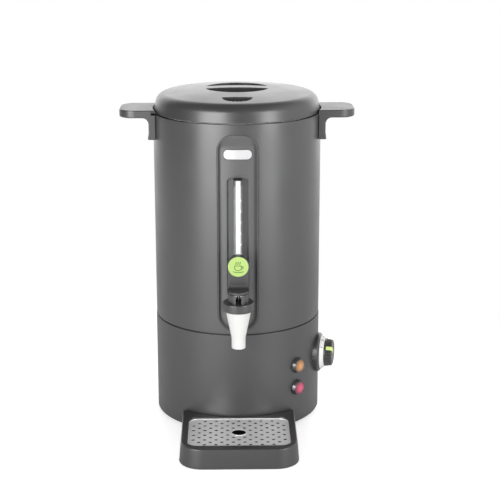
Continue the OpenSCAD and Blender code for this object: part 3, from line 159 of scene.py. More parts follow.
# colour, roughness and what makes each surface more than a flat colour; sizes in mm
finishSettings = {
    "shell_paint": dict(colour=(0.036, 0.036, 0.037), rough=0.36, mottle=0.08, grain=0.5, bump=0.012, shine=1.0),
    "base_paint": dict(colour=(0.032, 0.032, 0.033), rough=0.4, mottle=0.08, grain=0.5, bump=0.015, shine=1.0),
    "fascia_plastic": dict(colour=(0.07, 0.07, 0.072), rough=0.42, mottle=0.08, bump=0.02, shine=1.0),
    "lid_plastic": dict(colour=(0.03, 0.03, 0.031), rough=0.34, bump=0.015, shine=1.0),
    "handle_plastic": dict(colour=(0.03, 0.03, 0.031), rough=0.4, grain=0.7, bump=0.025, shine=1.0),
    "tray_plastic": dict(colour=(0.022, 0.022, 0.023), rough=0.38, bump=0.02, shine=1.0),
    "tap_plastic": dict(colour=(0.026, 0.026, 0.027), rough=0.34, bump=0.012, shine=1.0),
    "lever_plastic": dict(colour=(0.03, 0.03, 0.031), rough=0.38, bump=0.015, shine=1.0),
    "flange_plastic": dict(colour=(0.028, 0.028, 0.029), rough=0.34, bump=0.015, shine=1.0),
    "vent_plastic": dict(colour=(0.018, 0.018, 0.019), rough=0.5, bump=0.02),
    "black_plastic": dict(colour=(0.012, 0.012, 0.013), rough=0.5, bump=0.02),
    "knob_plastic": dict(colour=(0.022, 0.022, 0.023), rough=0.3, grain=0.5, shine=1.0),
    "bezel_gloss": dict(colour=(0.10, 0.10, 0.103), rough=0.2, metal=0.7, mottle=0.08, grain=0.5, bump=0.003,
                        coat=0.4),
    "nozzle_white": dict(colour=(0.64, 0.64, 0.63), rough=0.34, mottle=0.02, grain=0.8, bump=0.012, milk=0.1),
    "dial_white": dict(colour=(0.74, 0.74, 0.73), rough=0.4, mottle=0.02),
    "scale_white": dict(colour=(0.84, 0.84, 0.83), rough=0.45, mottle=0.015),
    "badge_silver": dict(colour=(0.68, 0.68, 0.69), rough=0.3, metal=0.35, mottle=0.02, grain=0.3, bump=0.006,
                         brush=(60, 1, 1)),
    "button_green": dict(colour=(0.40, 0.55, 0.17), rough=0.34, mottle=0.05, milk=0.1),
    "pointer_lime": dict(colour=(0.68, 0.84, 0.26), rough=0.38, mottle=0.03, grain=0.5),
    # core is each lens's middle, where painted glow makes the colour brightest
    "lens_amber": dict(colour=(0.40, 0.19, 0.075), rough=0.22, grain=1.2, bump=0.02, coat=0.4,
                       core=(0.0820, -0.0834, 0.086)),
    "lens_red": dict(colour=(0.42, 0.05, 0.11), rough=0.22, grain=1.2, bump=0.02, coat=0.4,
                     core=(0.0820, -0.0834, 0.055)),
    "gauge_glass": dict(colour=(0.93, 0.95, 0.95), rough=0.08, mottle=0.01, grain=2.0, bump=0.002, clear=0.92),
    "stainless": dict(colour=(0.62, 0.62, 0.61), rough=0.26, metal=1.0, mottle=0.05, grain=0.25, bump=0.006,
                      brush=(1, 1, 40)),
    "grid_steel": dict(colour=(0.88, 0.88, 0.88), rough=0.34, metal=0.42, mottle=0.12, grain=0.3, bump=0.012,
                       shine=1.0, brush=(1, 40, 40)),
    "stem_steel": dict(colour=(0.7, 0.7, 0.7), rough=0.22, metal=1.0, mottle=0.04, grain=0.2, bump=0.003),
    "element_steel": dict(colour=(0.45, 0.43, 0.41), rough=0.35, metal=1.0, mottle=0.12, grain=0.5),
    "zinc": dict(colour=(0.62, 0.63, 0.65), rough=0.33, metal=1.0, mottle=0.09, grain=0.5, bump=0.006),
    "zinc_sheet": dict(colour=(0.58, 0.59, 0.6), rough=0.38, metal=1.0, mottle=0.16, grain=4.0),
    "aluminium_plate": dict(colour=(0.7, 0.7, 0.71), rough=0.4, metal=1.0, mottle=0.07, grain=0.4),
    "copper": dict(colour=(0.72, 0.38, 0.24), rough=0.3, metal=1.0, mottle=0.12, bump=0.006),
    "ceramic": dict(colour=(0.78, 0.76, 0.7), rough=0.5, mottle=0.05, grain=0.8, bump=0.02),
    "wire_red": dict(colour=(0.45, 0.05, 0.03), rough=0.45, mottle=0.06),
    "silicone": dict(colour=(0.74, 0.74, 0.7), rough=0.55, mottle=0.04, grain=0.8, bump=0.015, milk=0.2),
    "rubber_black": dict(colour=(0.014, 0.014, 0.014), rough=0.7, mottle=0.15, grain=0.5, bump=0.04),
    "floorPaper": dict(colour=(0.93, 0.93, 0.93), rough=0.7, mottle=0.004),
    "printInk": dict(colour=(0.03, 0.03, 0.03), rough=0.5, grain=0.4),
    "pictogramInk": dict(colour=(0.09, 0.17, 0.025), rough=0.45, mottle=0.05, grain=0.4),
}

surfaceSettings = {
    "cloudScale": 24.0, "cloudDetail": 5.0, "fineDetail": 2.0, "cloudLow": 0.3, "cloudHigh": 0.7,
    "glossLow": 0.9, "glossHigh": 1.12,  # how far the roughness goes down and up
    "relief": 0.6, "coatRough": 0.12, "milkDepth": 3.0,
    # the lenses' painted glow: where it is full and where it is dim, in mm, and how far it brightens and darkens the
    # colour
    "paintedGlowNear": 2.0, "paintedGlowFar": 8.5, "paintedGlowBright": 1.5, "paintedGlowDim": 0.4,
}


def makeFinish(name, colour, rough, metal=0.0, mottle=0.1, grain=0.6, bump=0.01, coat=0.0, milk=0.0,
               clear=0.0, shine=0.5, brush=None, core=None):
    s = surfaceSettings
    paint = bpy.data.materials.new(name)
    paint.use_nodes = True
    tree = paint.node_tree
    place = addNode(tree, "ShaderNodeTexCoord").outputs["Object"]
    scale = [1 / b for b in brush or (1, 1, 1)]
    stretched = addNode(tree, "ShaderNodeMapping", {"Vector": place, "Scale": scale}).outputs["Vector"]
    cloud = noiseNode(tree, place, s["cloudScale"], s["cloudDetail"])  # broad unevenness of colour and gloss
    fine = noiseNode(tree, stretched, 1 / (grain * mm), s["fineDetail"])  # the moulded or brushed surface itself
    dark, light = ([min(1, c * part) for c in colour] + [1] for part in (1 - mottle, 1 + mottle))
    blend = addNode(tree, "ShaderNodeMix", {"Factor": cloud, "A": dark, "B": light}, data_type="RGBA")
    tint = blend.outputs["Result"]
    if core:  # painted glow: the colour is painted brighter towards a point and darker away from it, as light from a lamp behind the lens
        apart = addNode(tree, "ShaderNodeVectorMath", {0: place, 1: core}, operation="DISTANCE").outputs["Value"]
        fade = rampNode(tree, apart, s["paintedGlowNear"] * mm, s["paintedGlowFar"] * mm,
                        s["paintedGlowBright"], s["paintedGlowDim"], smooth=False)
        tint = addNode(tree, "ShaderNodeVectorMath", {0: tint, "Scale": fade}, operation="SCALE").outputs["Vector"]
    gloss = rampNode(tree, fine if brush else cloud, s["cloudLow"], s["cloudHigh"],
                     rough * s["glossLow"], min(1.0, rough * s["glossHigh"]), smooth=False)
    relief = addNode(tree, "ShaderNodeBump", {"Strength": s["relief"], "Distance": bump * mm, "Height": fine})
    setInputs(tree, tree.nodes["Principled BSDF"], {
        "Base Color": tint, "Roughness": gloss, "Normal": relief.outputs["Normal"], "Metallic": metal,
        "Specular IOR Level": shine, "Coat Weight": coat, "Coat Roughness": s["coatRough"],
        "Subsurface Weight": milk, "Subsurface Radius": [s["milkDepth"] * mm] * 3, "Transmission Weight": clear,
    })
    return paint


finishes = {name: makeFinish(name, **settings) for name, settings in finishSettings.items()}
print("finishes are mixed:", len(finishes))

# shape helpers: a shape is a list of points in mm and a list of faces
facing = Matrix(((1, 0, 0, 0), (0, 0, -1, 0), (0, 1, 0, 0), (0, 0, 0, 1)))  # local Z to the front, local Y up
sideways = Matrix(((0, 0, 1, 0), (1, 0, 0, 0), (0, 1, 0, 0), (0, 0, 0, 1)))  # local X to Y, Y to Z and Z to X


def newShape():
    return {"points": [], "faces": []}


def spread(first, last, steps):
    # evenly spaced values, both ends with them
    return [first + (last - first) * i / steps for i in range(steps + 1)]


def fullTurn(steps):
    return spread(0, 2 * math.pi, steps)[:-1]


def quarter(steps):
    return spread(0, math.pi / 2, steps)


def onCircle(radius, angle):
    return (radius * math.cos(angle), radius * math.sin(angle))


def arcPoints(x, y, radius, first, last, steps):
    # points on an arc about (x, y), between two angles
    return [(x + radius * math.cos(a), y + radius * math.sin(a)) for a in spread(first, last, steps)]


def disc(x, y, radius, steps):
    return arcPoints(x, y, radius, 0, 2 * math.pi, steps)[:-1]


def rectangle(x0, y0, x1, y1):
    return [(x0, y0), (x1, y0), (x1, y1), (x0, y1)]


def addRings(shape, rings, capStart=False, capEnd=False, wrap=True, loop=False):
    # joins rings of equal length, or single points, with faces
    points, faces = shape["points"], shape["faces"]
    starts = []
    for ring in rings:
        starts.append((len(points), len(ring)))
        points.extend(tuple(p) for p in ring)
    pairs = list(zip(starts, starts[1:]))
    if loop:
        pairs.append((starts[-1], starts[0]))
    for (a, countA), (b, countB) in pairs:
        count = max(countA, countB)
        for j in range(count if wrap else count - 1):
            k = (j + 1) % count
            if countA == 1:
                faces.append((a, b + k, b + j))
            elif countB == 1:
                faces.append((a + j, a + k, b))
            else:
                faces.append((a + j, a + k, b + k, b + j))
    if capStart:
        first, count = starts[0]
        faces.append(tuple(range(first + count - 1, first - 1, -1)))
    if capEnd:
        first, count = starts[-1]
        faces.append(tuple(range(first, first + count)))


def addBar(shape, rings):
    addRings(shape, rings, capStart=True, capEnd=True)


def addTurned(shape, profile, place=None, steps=96, loop=False):
    # turns (radius, height) pairs about the local Z axis
    place = place or Matrix()
    rings = []
    for radius, height in profile:
        if radius < 1e-6:
            rings.append([place @ Vector((0, 0, height))])
        else:
            rings.append([place @ Vector((*onCircle(radius, a), height)) for a in fullTurn(steps)])
    addRings(shape, rings, loop=loop)


def rounded(points, radii, steps=4, closed=True):
    # the same outline with its corners turned into arcs
    if not isinstance(radii, (list, tuple)):
        radii = [radii] * len(points)
    result = []
    for i, p in enumerate(points):
        p = Vector(p)
        if radii[i] <= 0 or (not closed and i in (0, len(points) - 1)):
            result.append(p)
            continue
        before = (Vector(points[i - 1]) - p).normalized()
        after = (Vector(points[(i + 1) % len(points)]) - p).normalized()
        half = before.angle(after) / 2
        centre = p + (before + after).normalized() * radii[i] / math.sin(half)
        start = p + before * radii[i] / math.tan(half) - centre
        end = p + after * radii[i] / math.tan(half) - centre
        turn = math.atan2(start.x * end.y - start.y * end.x, start.dot(end))
        for k in range(steps + 1):
            a = turn * k / steps
            result.append(centre + Vector((start.x * math.cos(a) - start.y * math.sin(a),
                                           start.x * math.sin(a) + start.y * math.cos(a))))
    return result


def offsetLoop(points, inset):
    # moves every side of a counter-clockwise outline inwards
    count = len(points)
    result = []
    for i in range(count):
        p = Vector(points[i])
        along = [(p - Vector(points[i - 1])), (Vector(points[(i + 1) % count]) - p)]
        normals = [Vector((-v.y, v.x)).normalized() for v in along]
        opening = max(1 + normals[0].dot(normals[1]), 0.2)  # keeps very sharp corners from flying out
        result.append(p + (normals[0] + normals[1]) * inset / opening)
    return result


def addSlab(shape, outline, levels, place=None):
    # stacks an outline at (inset, height) levels, so that its edges come out rounded
    place = place or Matrix()
    rings = []
    for inset, height in levels:
        rings.append([place @ Vector((p.x, p.y, height)) for p in offsetLoop(outline, inset)])
    addBar(shape, rings)


def softLevels(low, high, edge):
    # levels for addSlab with both rims rounded
    bend = [(edge * (1 - math.sin(a)), edge * (1 - math.cos(a))) for a in quarter(4)]
    flat = edge + 0.6  # one more ring keeps the flat faces flat
    lower = [(flat, low)] + [(inset, low + rise) for inset, rise in bend]
    return lower + [(inset, high - rise) for inset, rise in reversed(bend)] + [(flat, high)]


def insideLoop(points, loop):
    # which of the points lie inside a closed outline
    inside = np.zeros(len(points), bool)
    x, y = points[:, 0], points[:, 1]
    for (x0, y0), (x1, y1) in zip(loop, loop[1:] + loop[:1]):
        if y0 != y1:
            crossing = (y0 > y) != (y1 > y)
            inside ^= crossing & (x < (x1 - x0) * (y - y0) / (y1 - y0) + x0)
    return inside


def insideSheet(points, loops):
    # which of the points lie inside the first outline and outside the others
    keep = insideLoop(points, loops[0])
    for loop in loops[1:]:
        keep &= ~insideLoop(points, loop)
    return keep


def addSheet(shape, outer, holes, lift, extra=()):
    # fills an outline, less its holes, with triangles on the surface that lift gives
    loops = [outer, *holes]
    coords, edges = [], []
    for loop in loops:
        start = len(coords)
        coords += [Vector(p) for p in loop]
        edges += [(start + i, start + (i + 1) % len(loop)) for i in range(len(loop))]
    spots = np.array(extra, float).reshape(-1, 2)
    coords += [Vector(p) for p in spots[insideSheet(spots, loops)]]
    found, _, triangles, _, _, _ = delaunay_2d_cdt(coords, edges, [], 0, 1e-5)
    middles = np.array([[sum(found[i].x for i in t) / 3, sum(found[i].y for i in t) / 3] for t in triangles])
    kept = insideSheet(middles, loops)
    start = len(shape["points"])
    shape["points"].extend(tuple(lift(v.x, v.y)) for v in found)
    shape["faces"].extend(tuple(start + i for i in t) for t, good in zip(triangles, kept) if good)


def flatAt(height):
    return lambda x, y: (x, y, height)


def radialPlace(azimuth, height):
    # local X runs round the body, Y is up and Z points away from the body's axis
    a = math.radians(azimuth)
    return Matrix(((math.cos(a), 0, math.sin(a), 0), (math.sin(a), 0, -math.cos(a), 0),
                   (0, 1, 0, height), (0, 0, 0, 1)))


def around(x, z, radius):
    # a point of the body's front at a distance from the axis
    return (x, -math.sqrt(max(radius * radius - x * x, 0)), z)


meshSettings = {"merge": 0.002, "sharpFrom": 38}  # mm and degrees


def tidyMesh(mesh):
    s = meshSettings
    work = bmesh.new()
    work.from_mesh(mesh)
    bmesh.ops.remove_doubles(work, verts=work.verts, dist=s["merge"] * mm)
    loose = [v for v in work.verts if not v.link_faces]
    bmesh.ops.delete(work, geom=loose, context="VERTS")
    bmesh.ops.recalc_face_normals(work, faces=work.faces)
    for face in work.faces:
        face.smooth = True
    for edge in work.edges:
        edge.smooth = len(edge.link_faces) == 2 and edge.calc_face_angle(0) < math.radians(s["sharpFrom"])
    work.to_mesh(mesh)
    work.free()


def meshObject(name, shape, finish):
    mesh = bpy.data.meshes.new(name)
    mesh.from_pydata([(x * mm, y * mm, z * mm) for x, y, z in shape["points"]], [], shape["faces"])
    tidyMesh(mesh)
    mesh.materials.append(finishes[finish])
    piece = bpy.data.objects.new(name, mesh)
    scene.collection.objects.link(piece)
    return piece


def bakeModifiers(piece):
    # leaves a plain mesh where the modifiers were
    bpy.context.view_layer.update()
    graph = bpy.context.evaluated_depsgraph_get()
    mesh = bpy.data.meshes.new_from_object(piece.evaluated_get(graph), depsgraph=graph)
    piece.modifiers.clear()
    piece.data = mesh
    tidyMesh(mesh)


def settle(piece, body, node):
    # hands a finished piece over to the frame
    weigh = piece.modifiers.new("evenNormals", "WEIGHTED_NORMAL")
    weigh.keep_sharp = True
    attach(piece, body)
    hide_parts(node)


def addPiece(name, shape, finish, body, node):
    settle(meshObject(name, shape, finish), body, node)


def cutWith(piece, cutter):
    cut = piece.modifiers.new("cut", "BOOLEAN")
    cut.operation = "DIFFERENCE"
    cut.solver = "MANIFOLD"
    cut.object = cutter
    bakeModifiers(piece)
    bpy.data.objects.remove(cutter)


# geometry node trees


def newTree(name, sockets):
    # an empty geometry tree and its named inputs
    tree = bpy.data.node_groups.new(name, "GeometryNodeTree")
    rows = [("Geometry", "INPUT", "Geometry")] + [(label, "INPUT", kind) for label, kind in sockets.items()]
    for label, way, kind in rows + [("Geometry", "OUTPUT", "Geometry")]:
        tree.interface.new_socket(label, in_out=way, socket_type="NodeSocket" + kind)
    return tree, addNode(tree, "NodeGroupInput").outputs


def endTree(tree, geometry, finish):
    # the result as real geometry in one finish
    real = addNode(tree, "GeometryNodeRealizeInstances", {0: geometry})
    paint = addNode(tree, "GeometryNodeSetMaterial", {"Geometry": real.outputs[0], "Material": finish})
    addNode(tree, "NodeGroupOutput", {0: paint.outputs[0]})
    return tree


def makeRepeatTree():
    # copies a small piece round the Z axis, or along it
    tree, given = newTree("repeatedPieces", {"Piece": "Object", "Count": "Int", "First Angle": "Float",
                                             "Step Angle": "Float", "Step Up": "Float", "Finish": "Material"})
    index = addNode(tree, "GeometryNodeInputIndex").outputs[0]
    turned = mathNode(tree, "ADD", mathNode(tree, "MULTIPLY", index, given["Step Angle"]), given["First Angle"])
    turn = addNode(tree, "ShaderNodeCombineXYZ", {2: turned})
    spot = addNode(tree, "ShaderNodeCombineXYZ", {2: mathNode(tree, "MULTIPLY", index, given["Step Up"])})
    line = addNode(tree, "GeometryNodeMeshLine", {"Count": given["Count"], "Offset": (0, 0, 0)})
    place = addNode(tree, "GeometryNodeSetPosition", {"Geometry": line.outputs[0], "Position": spot.outputs[0]})
    source = addNode(tree, "GeometryNodeObjectInfo", {"Object": given["Piece"]})
    copies = addNode(tree, "GeometryNodeInstanceOnPoints", {
        "Points": place.outputs[0], "Instance": source.outputs["Geometry"], "Rotation": turn.outputs[0]})
    joined = addNode(tree, "GeometryNodeJoinGeometry", {0: given["Geometry"]}).inputs[0]
    tree.links.new(copies.outputs[0], joined)
    return endTree(tree, joined.node.outputs[0], given["Finish"])


perforationSettings = {
    "fields": ((9, 6), (8, 5)),  # columns and rows of the two crossed fields of holes
    "sides": 20, "depth": 6.0,
}


def makePerforationTree(s):
    # drills a plate with rows of holes, every other row shifted by half a step
    tree, given = newTree("perforatedPlate", {
        "Hole Radius": "Float", "Across": "Float", "Along": "Float", "Middle": "Vector", "Clear Radius": "Float",
        "Corner Across": "Float", "Corner Along": "Float", "Finish": "Material"})
    rows = addNode(tree, "GeometryNodeJoinGeometry")
    for columns, lines in s["fields"]:
        field = addNode(tree, "GeometryNodeMeshGrid", {
            "Vertices X": columns, "Vertices Y": lines,
            "Size X": mathNode(tree, "MULTIPLY", given["Across"], columns - 1),
            "Size Y": mathNode(tree, "MULTIPLY", given["Along"], 2 * (lines - 1))})
        tree.links.new(field.outputs["Mesh"], rows.inputs[0])
    at = addNode(tree, "GeometryNodeInputPosition").outputs[0]
    split = addNode(tree, "ShaderNodeSeparateXYZ", {0: at}).outputs
    away = addNode(tree, "ShaderNodeVectorMath", {0: at}, operation="LENGTH").outputs["Value"]
    nearDrain = mathNode(tree, "LESS_THAN", away, given["Clear Radius"])
    farOut, farUp = (mathNode(tree, "GREATER_THAN", mathNode(tree, "ABSOLUTE", split[axis]), given[limit])
                     for axis, limit in (("X", "Corner Across"), ("Y", "Corner Along")))
    missing = mathNode(tree, "MAXIMUM", nearDrain, mathNode(tree, "MULTIPLY", farOut, farUp))
    left = addNode(tree, "GeometryNodeDeleteGeometry", {"Geometry": rows.outputs[0], "Selection": missing},
                   domain="POINT")
    place = addNode(tree, "GeometryNodeSetPosition", {"Geometry": left.outputs[0], "Offset": given["Middle"]})
    drill = addNode(tree, "GeometryNodeMeshCylinder", {
        "Vertices": s["sides"], "Depth": s["depth"] * mm, "Radius": given["Hole Radius"]})
    drills = addNode(tree, "GeometryNodeInstanceOnPoints", {
        "Points": place.outputs[0], "Instance": drill.outputs["Mesh"]})
    solid = addNode(tree, "GeometryNodeRealizeInstances", {0: drills.outputs[0]})
    cut = addNode(tree, "GeometryNodeMeshBoolean", operation="DIFFERENCE", solver="EXACT")
    setInputs(tree, cut, {"Mesh 1": given["Geometry"], "Mesh 2": solid.outputs[0]})
    return endTree(tree, cut.outputs["Mesh"], given["Finish"])


def growNodes(piece, tree, values):
    # runs a tree on a piece and keeps the result as a plain mesh
    grow = piece.modifiers.new(tree.name, "NODES")
    grow.node_group = tree
    for item in tree.interface.items_tree:
        if item.in_out == "INPUT" and item.name in values:
            grow[item.identifier] = values[item.name]
    bakeModifiers(piece)


repeatTree = makeRepeatTree()
perforationTree = makePerforationTree(perforationSettings)


def repeated(name, unit, finish, count, stepAngle=0.0, firstAngle=0.0, stepUp=0.0, place=None, core=None):
    # a piece made of many copies of a unit shape, with an optional core shape
    seed = meshObject("unit", unit, finish)
    piece = meshObject(name, core or newShape(), finish)
    growNodes(piece, repeatTree, {
        "Piece": seed, "Count": count, "First Angle": math.radians(firstAngle),
        "Step Angle": math.radians(stepAngle), "Step Up": stepUp * mm, "Finish": finishes[finish],
    })
    bpy.data.objects.remove(seed)
    if place:
        shift = place.copy()
        shift.translation *= mm
        piece.data.transform(shift)
    return piece


# body shell and base

shellSettings = {
    "radius": 110.0, "low": 139.8, "high": 412.5, "wall": 1.2, "edge": 0.35, "columns": 150,
    "frontHalf": 30.0,  # half width of the front patch that holds the channel
    "frontSteps": 4, "bevelFrom": 50,
}
channelSettings = {"half": 26.0, "low": 144.3, "high": 400.0, "corner": 21.0}
slotSteps = {"side": 30, "arc": 12, "end": 6}  # how finely every long-hole outline is divided


def slotLoop(s, inset=0.0):
    # outline of a long hole with round corners, counter-clockwise as seen from the front
    w, lo, hi = s["half"] - inset, s["low"] + inset, s["high"] - inset
    r = max(s["corner"] - inset, 0.3)
    corners = ((w - r, hi - r, 0), (-w + r, hi - r, 90), (-w + r, lo + r, 180), (w - r, lo + r, 270))
    starts = ((w, lo + r), (w - r, hi), (-w, hi - r), (-w + r, lo))
    ends = ((w, hi - r), (-w + r, hi), (-w, lo + r), (w - r, lo))
    loop = []
    for (cx, cz, turn), (x0, z0), (x1, z1), kind in zip(corners, starts, ends, ("side", "end", "side", "end")):
        for i in range(slotSteps[kind]):
            t = i / slotSteps[kind]
            loop.append((x0 + (x1 - x0) * t, z0 + (z1 - z0) * t))
        for i in range(slotSteps["arc"]):
            a = math.radians(turn + 90 * i / slotSteps["arc"])
            loop.append((cx + r * math.cos(a), cz + r * math.sin(a)))
    return loop


def surroundLoop(s, half, low, high):
    # the rectangle round a long hole, divided like the hole's own outline
    w, lo, hi, r = s["half"], s["low"], s["high"], s["corner"]
    paths = (
        ("side", ((half, lo + r), (half, hi - r))), ("arc", ((half, hi - r), (half, high), (w - r, high))),
        ("end", ((w - r, high), (r - w, high))), ("arc", ((r - w, high), (-half, high), (-half, hi - r))),
        ("side", ((-half, hi - r), (-half, lo + r))), ("arc", ((-half, lo + r), (-half, low), (r - w, low))),
        ("end", ((r - w, low), (w - r, low))), ("arc", ((w - r, low), (half, low), (half, lo + r))),
    )
    loop = []
    for kind, stops in paths:
        for i in range(slotSteps[kind]):
            t = i / slotSteps[kind] * (len(stops) - 1)
            k = int(t)
            (x0, z0), (x1, z1) = stops[k], stops[k + 1]
            loop.append((x0 + (x1 - x0) * (t - k), z0 + (z1 - z0) * (t - k)))
    return loop


def loopBetween(first, second, t):
    return [(a + (c - a) * t, b + (d - b) * t) for (a, b), (c, d) in zip(first, second)]


def wrapped(loop, radius):
    # lays (x, z) points on the body's front, at a distance from the axis
    return [around(x, z, radius) for x, z in loop]


def wrappedSlots(hole, profile):
    return [wrapped(slotLoop(hole, inset), radius) for inset, radius in profile]


def thicken(piece, wall):
    sheet = piece.modifiers.new("sheet", "SOLIDIFY")
    sheet.thickness = wall * mm
    sheet.offset = -1


def makeBodyShell(s, channel):
    shape = newShape()
    inner = slotLoop(channel)
    outer = surroundLoop(channel, s["frontHalf"], s["low"], s["high"])
    addRings(shape, [wrapped(loopBetween(outer, inner, t), s["radius"]) for t in spread(0, 1, s["frontSteps"])])
    levels = sorted({round(z, 6) for x, z in outer if abs(x - s["frontHalf"]) < 1e-6})
    first = math.asin(s["frontHalf"] / s["radius"])
    columns = [[(s["radius"] * math.sin(a), -s["radius"] * math.cos(a), z) for z in levels]
               for a in spread(first, 2 * math.pi - first, s["columns"])]
    addRings(shape, columns, wrap=False)
    piece = meshObject("bodyShell", shape, "shell_paint")
    thicken(piece, s["wall"])
    edge = piece.modifiers.new("edge", "BEVEL")
    edge.width = s["edge"] * mm
    edge.segments = 2
    edge.limit_method = "ANGLE"
    edge.angle_limit = math.radians(s["bevelFrom"])
    bakeModifiers(piece)
    settle(piece, "urn", "outer_shell")


baseSettings = {
    "radius": 110.5, "inner": 108.9, "low": 5.0, "high": 138.2, "foot": 1.5, "edge": 0.5, "lap": 2.0, "bands": 8,
}


def makeBaseShell(s):
    outline = rounded([(s["inner"], s["low"] + s["lap"]), (s["inner"] + 0.1, s["low"]), (s["radius"], s["low"]),
                       (s["radius"], s["high"]), (s["inner"], s["high"])], [0, 0, s["foot"], s["edge"], 0], 5)
    middle = (s["low"] + s["high"]) / 2
    profile = []
    for p, q in zip(outline, outline[1:] + outline[:1]):  # a few more levels up the wall
        tall = (p.y - middle) * (q.y - middle) < 0
        profile += [p.lerp(q, t) for t in spread(0, 1, s["bands"] if tall else 1)[:-1]]
    shape = newShape()
    addTurned(shape, profile, steps=200, loop=True)
    addPiece("baseShell", shape, "base_paint", "urn", "base_shell")


makeBodyShell(shellSettings, channelSettings)
makeBaseShell(baseSettings)
print("body shell and base are made")

# front panel with its badge and level gauge

# profiles are pairs of inset and distance from the body's axis
fasciaSettings = {
    "floor": 104.0, "top": 109.9, "sheet": 0.8, "between": 17,
    "rampLow": (383.0, 103.5), "rampHigh": (398.8, 110.5),  # height and distance where the floor climbs
    "lip": ((0.3, 108.2), (0.3, 109.5), (0.45, 109.8), (0.8, 109.95), (1.2, 109.85), (1.42, 109.55)),
    "side": ((1.5, 109.0), (1.5, 104.8), (1.57, 104.4), (1.78, 104.12), (2.2, 104.0), (3.2, 104.0)),
    "slot": {"half": 13.25, "low": 189.5, "high": 343.8, "corner": 5.5},
    "slotSide": ((-1.0, 104.0), (-0.6, 103.95), (-0.22, 103.75), (-0.03, 103.4), (0, 103.0), (0, 101.5),
                 (0.12, 101.1), (0.45, 100.8), (0.9, 100.7), (3.5, 100.7), (6.5, 100.7), (9.5, 100.7), (12.0, 100.7)),
    "badgeFrame": ((-0.95, 103.6), (-0.95, 104.15), (-0.8, 104.4), (-0.5, 104.5), (-0.22, 104.35),
                   (-0.15, 104.0), (-0.15, 103.6)),
}
badgeSettings = {
    "half": 17.7, "low": 368.0, "high": 380.0, "corner": 5.8, "mesh": 1.5,
    "side": ((0, 103.5), (0, 104.2), (0.1, 104.4), (0.35, 104.5), (0.9, 104.5), (1.15, 104.42), (1.4, 104.42)),
}


def makeFrontPanel(s, channel, badge):
    (lowZ, lowRadius), (highZ, highRadius) = s["rampLow"], s["rampHigh"]

    def climbing(loop, radius):
        # the channel's floor climbs to the shell in a short ramp at the top
        slope = (highRadius - lowRadius) / (highZ - lowZ)
        return [around(x, z, min(max(radius, lowRadius + (z - lowZ) * slope), s["top"])) for x, z in loop]

    rings = wrappedSlots(channel, s["lip"])
    rings += [climbing(slotLoop(channel, inset), radius) for inset, radius in s["side"]]
    wide, narrow = slotLoop(channel, s["side"][-1][0]), slotLoop(s["slot"], s["slotSide"][0][0])
    rings += [climbing(loopBetween(wide, narrow, t), s["floor"]) for t in spread(0, 1, s["between"])[1:-1]]
    shape = newShape()
    addRings(shape, rings + wrappedSlots(s["slot"], s["slotSide"]), capEnd=True)
    addRings(shape, wrappedSlots(badge, s["badgeFrame"]))
    piece = meshObject("frontPanel", shape, "fascia_plastic")
    thicken(piece, s["sheet"])
    bakeModifiers(piece)
    settle(piece, "urn", "front_fascia")


def makeBadge(s):
    shape = newShape()
    addRings(shape, wrappedSlots(s, s["side"]), capStart=True)
    inset, face = s["side"][-1]
    middle = (s["low"] + s["high"]) / 2
    inside = [(x * s["mesh"], middle + z * s["mesh"]) for x in range(-10, 11) for z in (-1, 0, 1)]
    addSheet(shape, slotLoop(s, inset), [], lambda x, z: around(x, z, face), inside)
    addPiece("badgePlate", shape, "badge_silver", "urn", "badge")


gaugeSettings = {
    "y": -107.0, "tube": 6.0, "wall": 1.4, "edge": 0.4, "low": 184.5, "high": 342.8,
    "scaleLow": 208.5, "scaleHigh": 342.2, "scaleFrom": -2.5, "scaleTo": 3.2, "scaleRadius": 6.5, "gap": 0.03,
    "scaleEnd": ((0.3, 0.0), (0.08, 0.1), (0.0, 0.35)),  # how far the strip draws in towards its ends
    "markFrom": 2.6, "markTo": 4.5, "markHalf": 0.75, "markEdge": 0.3, "markSunk": 0.9,
    "markTop": 317.5, "markPitch": 14.3, "marks": 8,
}


def makeGauge(s):
    tube, strip, mark = newShape(), newShape(), newShape()
    r, wall = s["tube"], s["wall"]
    profile = rounded(rectangle(r - wall, s["low"], r, s["high"]), s["edge"], 3)
    addTurned(tube, profile, Matrix.Translation((0, s["y"], 0)), steps=48, loop=True)
    addPiece("gaugeTube", tube, "gauge_glass", "urn", "gauge_tube")

    def arc(radius, turns, z):
        return [(radius * math.sin(a), s["y"] - radius * math.cos(a), z) for a in turns]

    turns = spread(*(math.asin(x / s["scaleRadius"]) for x in (s["scaleFrom"], s["scaleTo"])), 12)
    levels = [(trim, s["scaleLow"] + rise) for trim, rise in s["scaleEnd"]]
    levels += [(trim, s["scaleHigh"] - rise) for trim, rise in reversed(s["scaleEnd"])]
    addBar(strip, [arc(s["scaleRadius"] - trim / 2, turns, z) + arc(r + s["gap"], turns[::-1], z)
                   for trim, z in levels])
    addPiece("gaugeStrip", strip, "scale_white", "urn", "gauge_scale")
    outline = rectangle(s["markFrom"], -s["markHalf"], s["markTo"], s["markHalf"])
    outline = rounded(outline, [0, s["markEdge"], s["markEdge"], 0], 3)
    base = Matrix.Translation((0, s["y"] - r + s["markSunk"], s["markTop"]))
    addSlab(mark, outline, [(0, 0.0), (0, 0.7), (0.1, 0.9), (0.3, 0.95)], base @ facing)
    marks = repeated("gaugeMarks", mark, "scale_white", s["marks"], stepUp=-s["markPitch"])
    settle(marks, "urn", "gauge_scale")


makeFrontPanel(fasciaSettings, channelSettings, badgeSettings)
makeBadge(badgeSettings)
makeGauge(gaugeSettings)
print("front panel, badge and gauge are made")

# lid

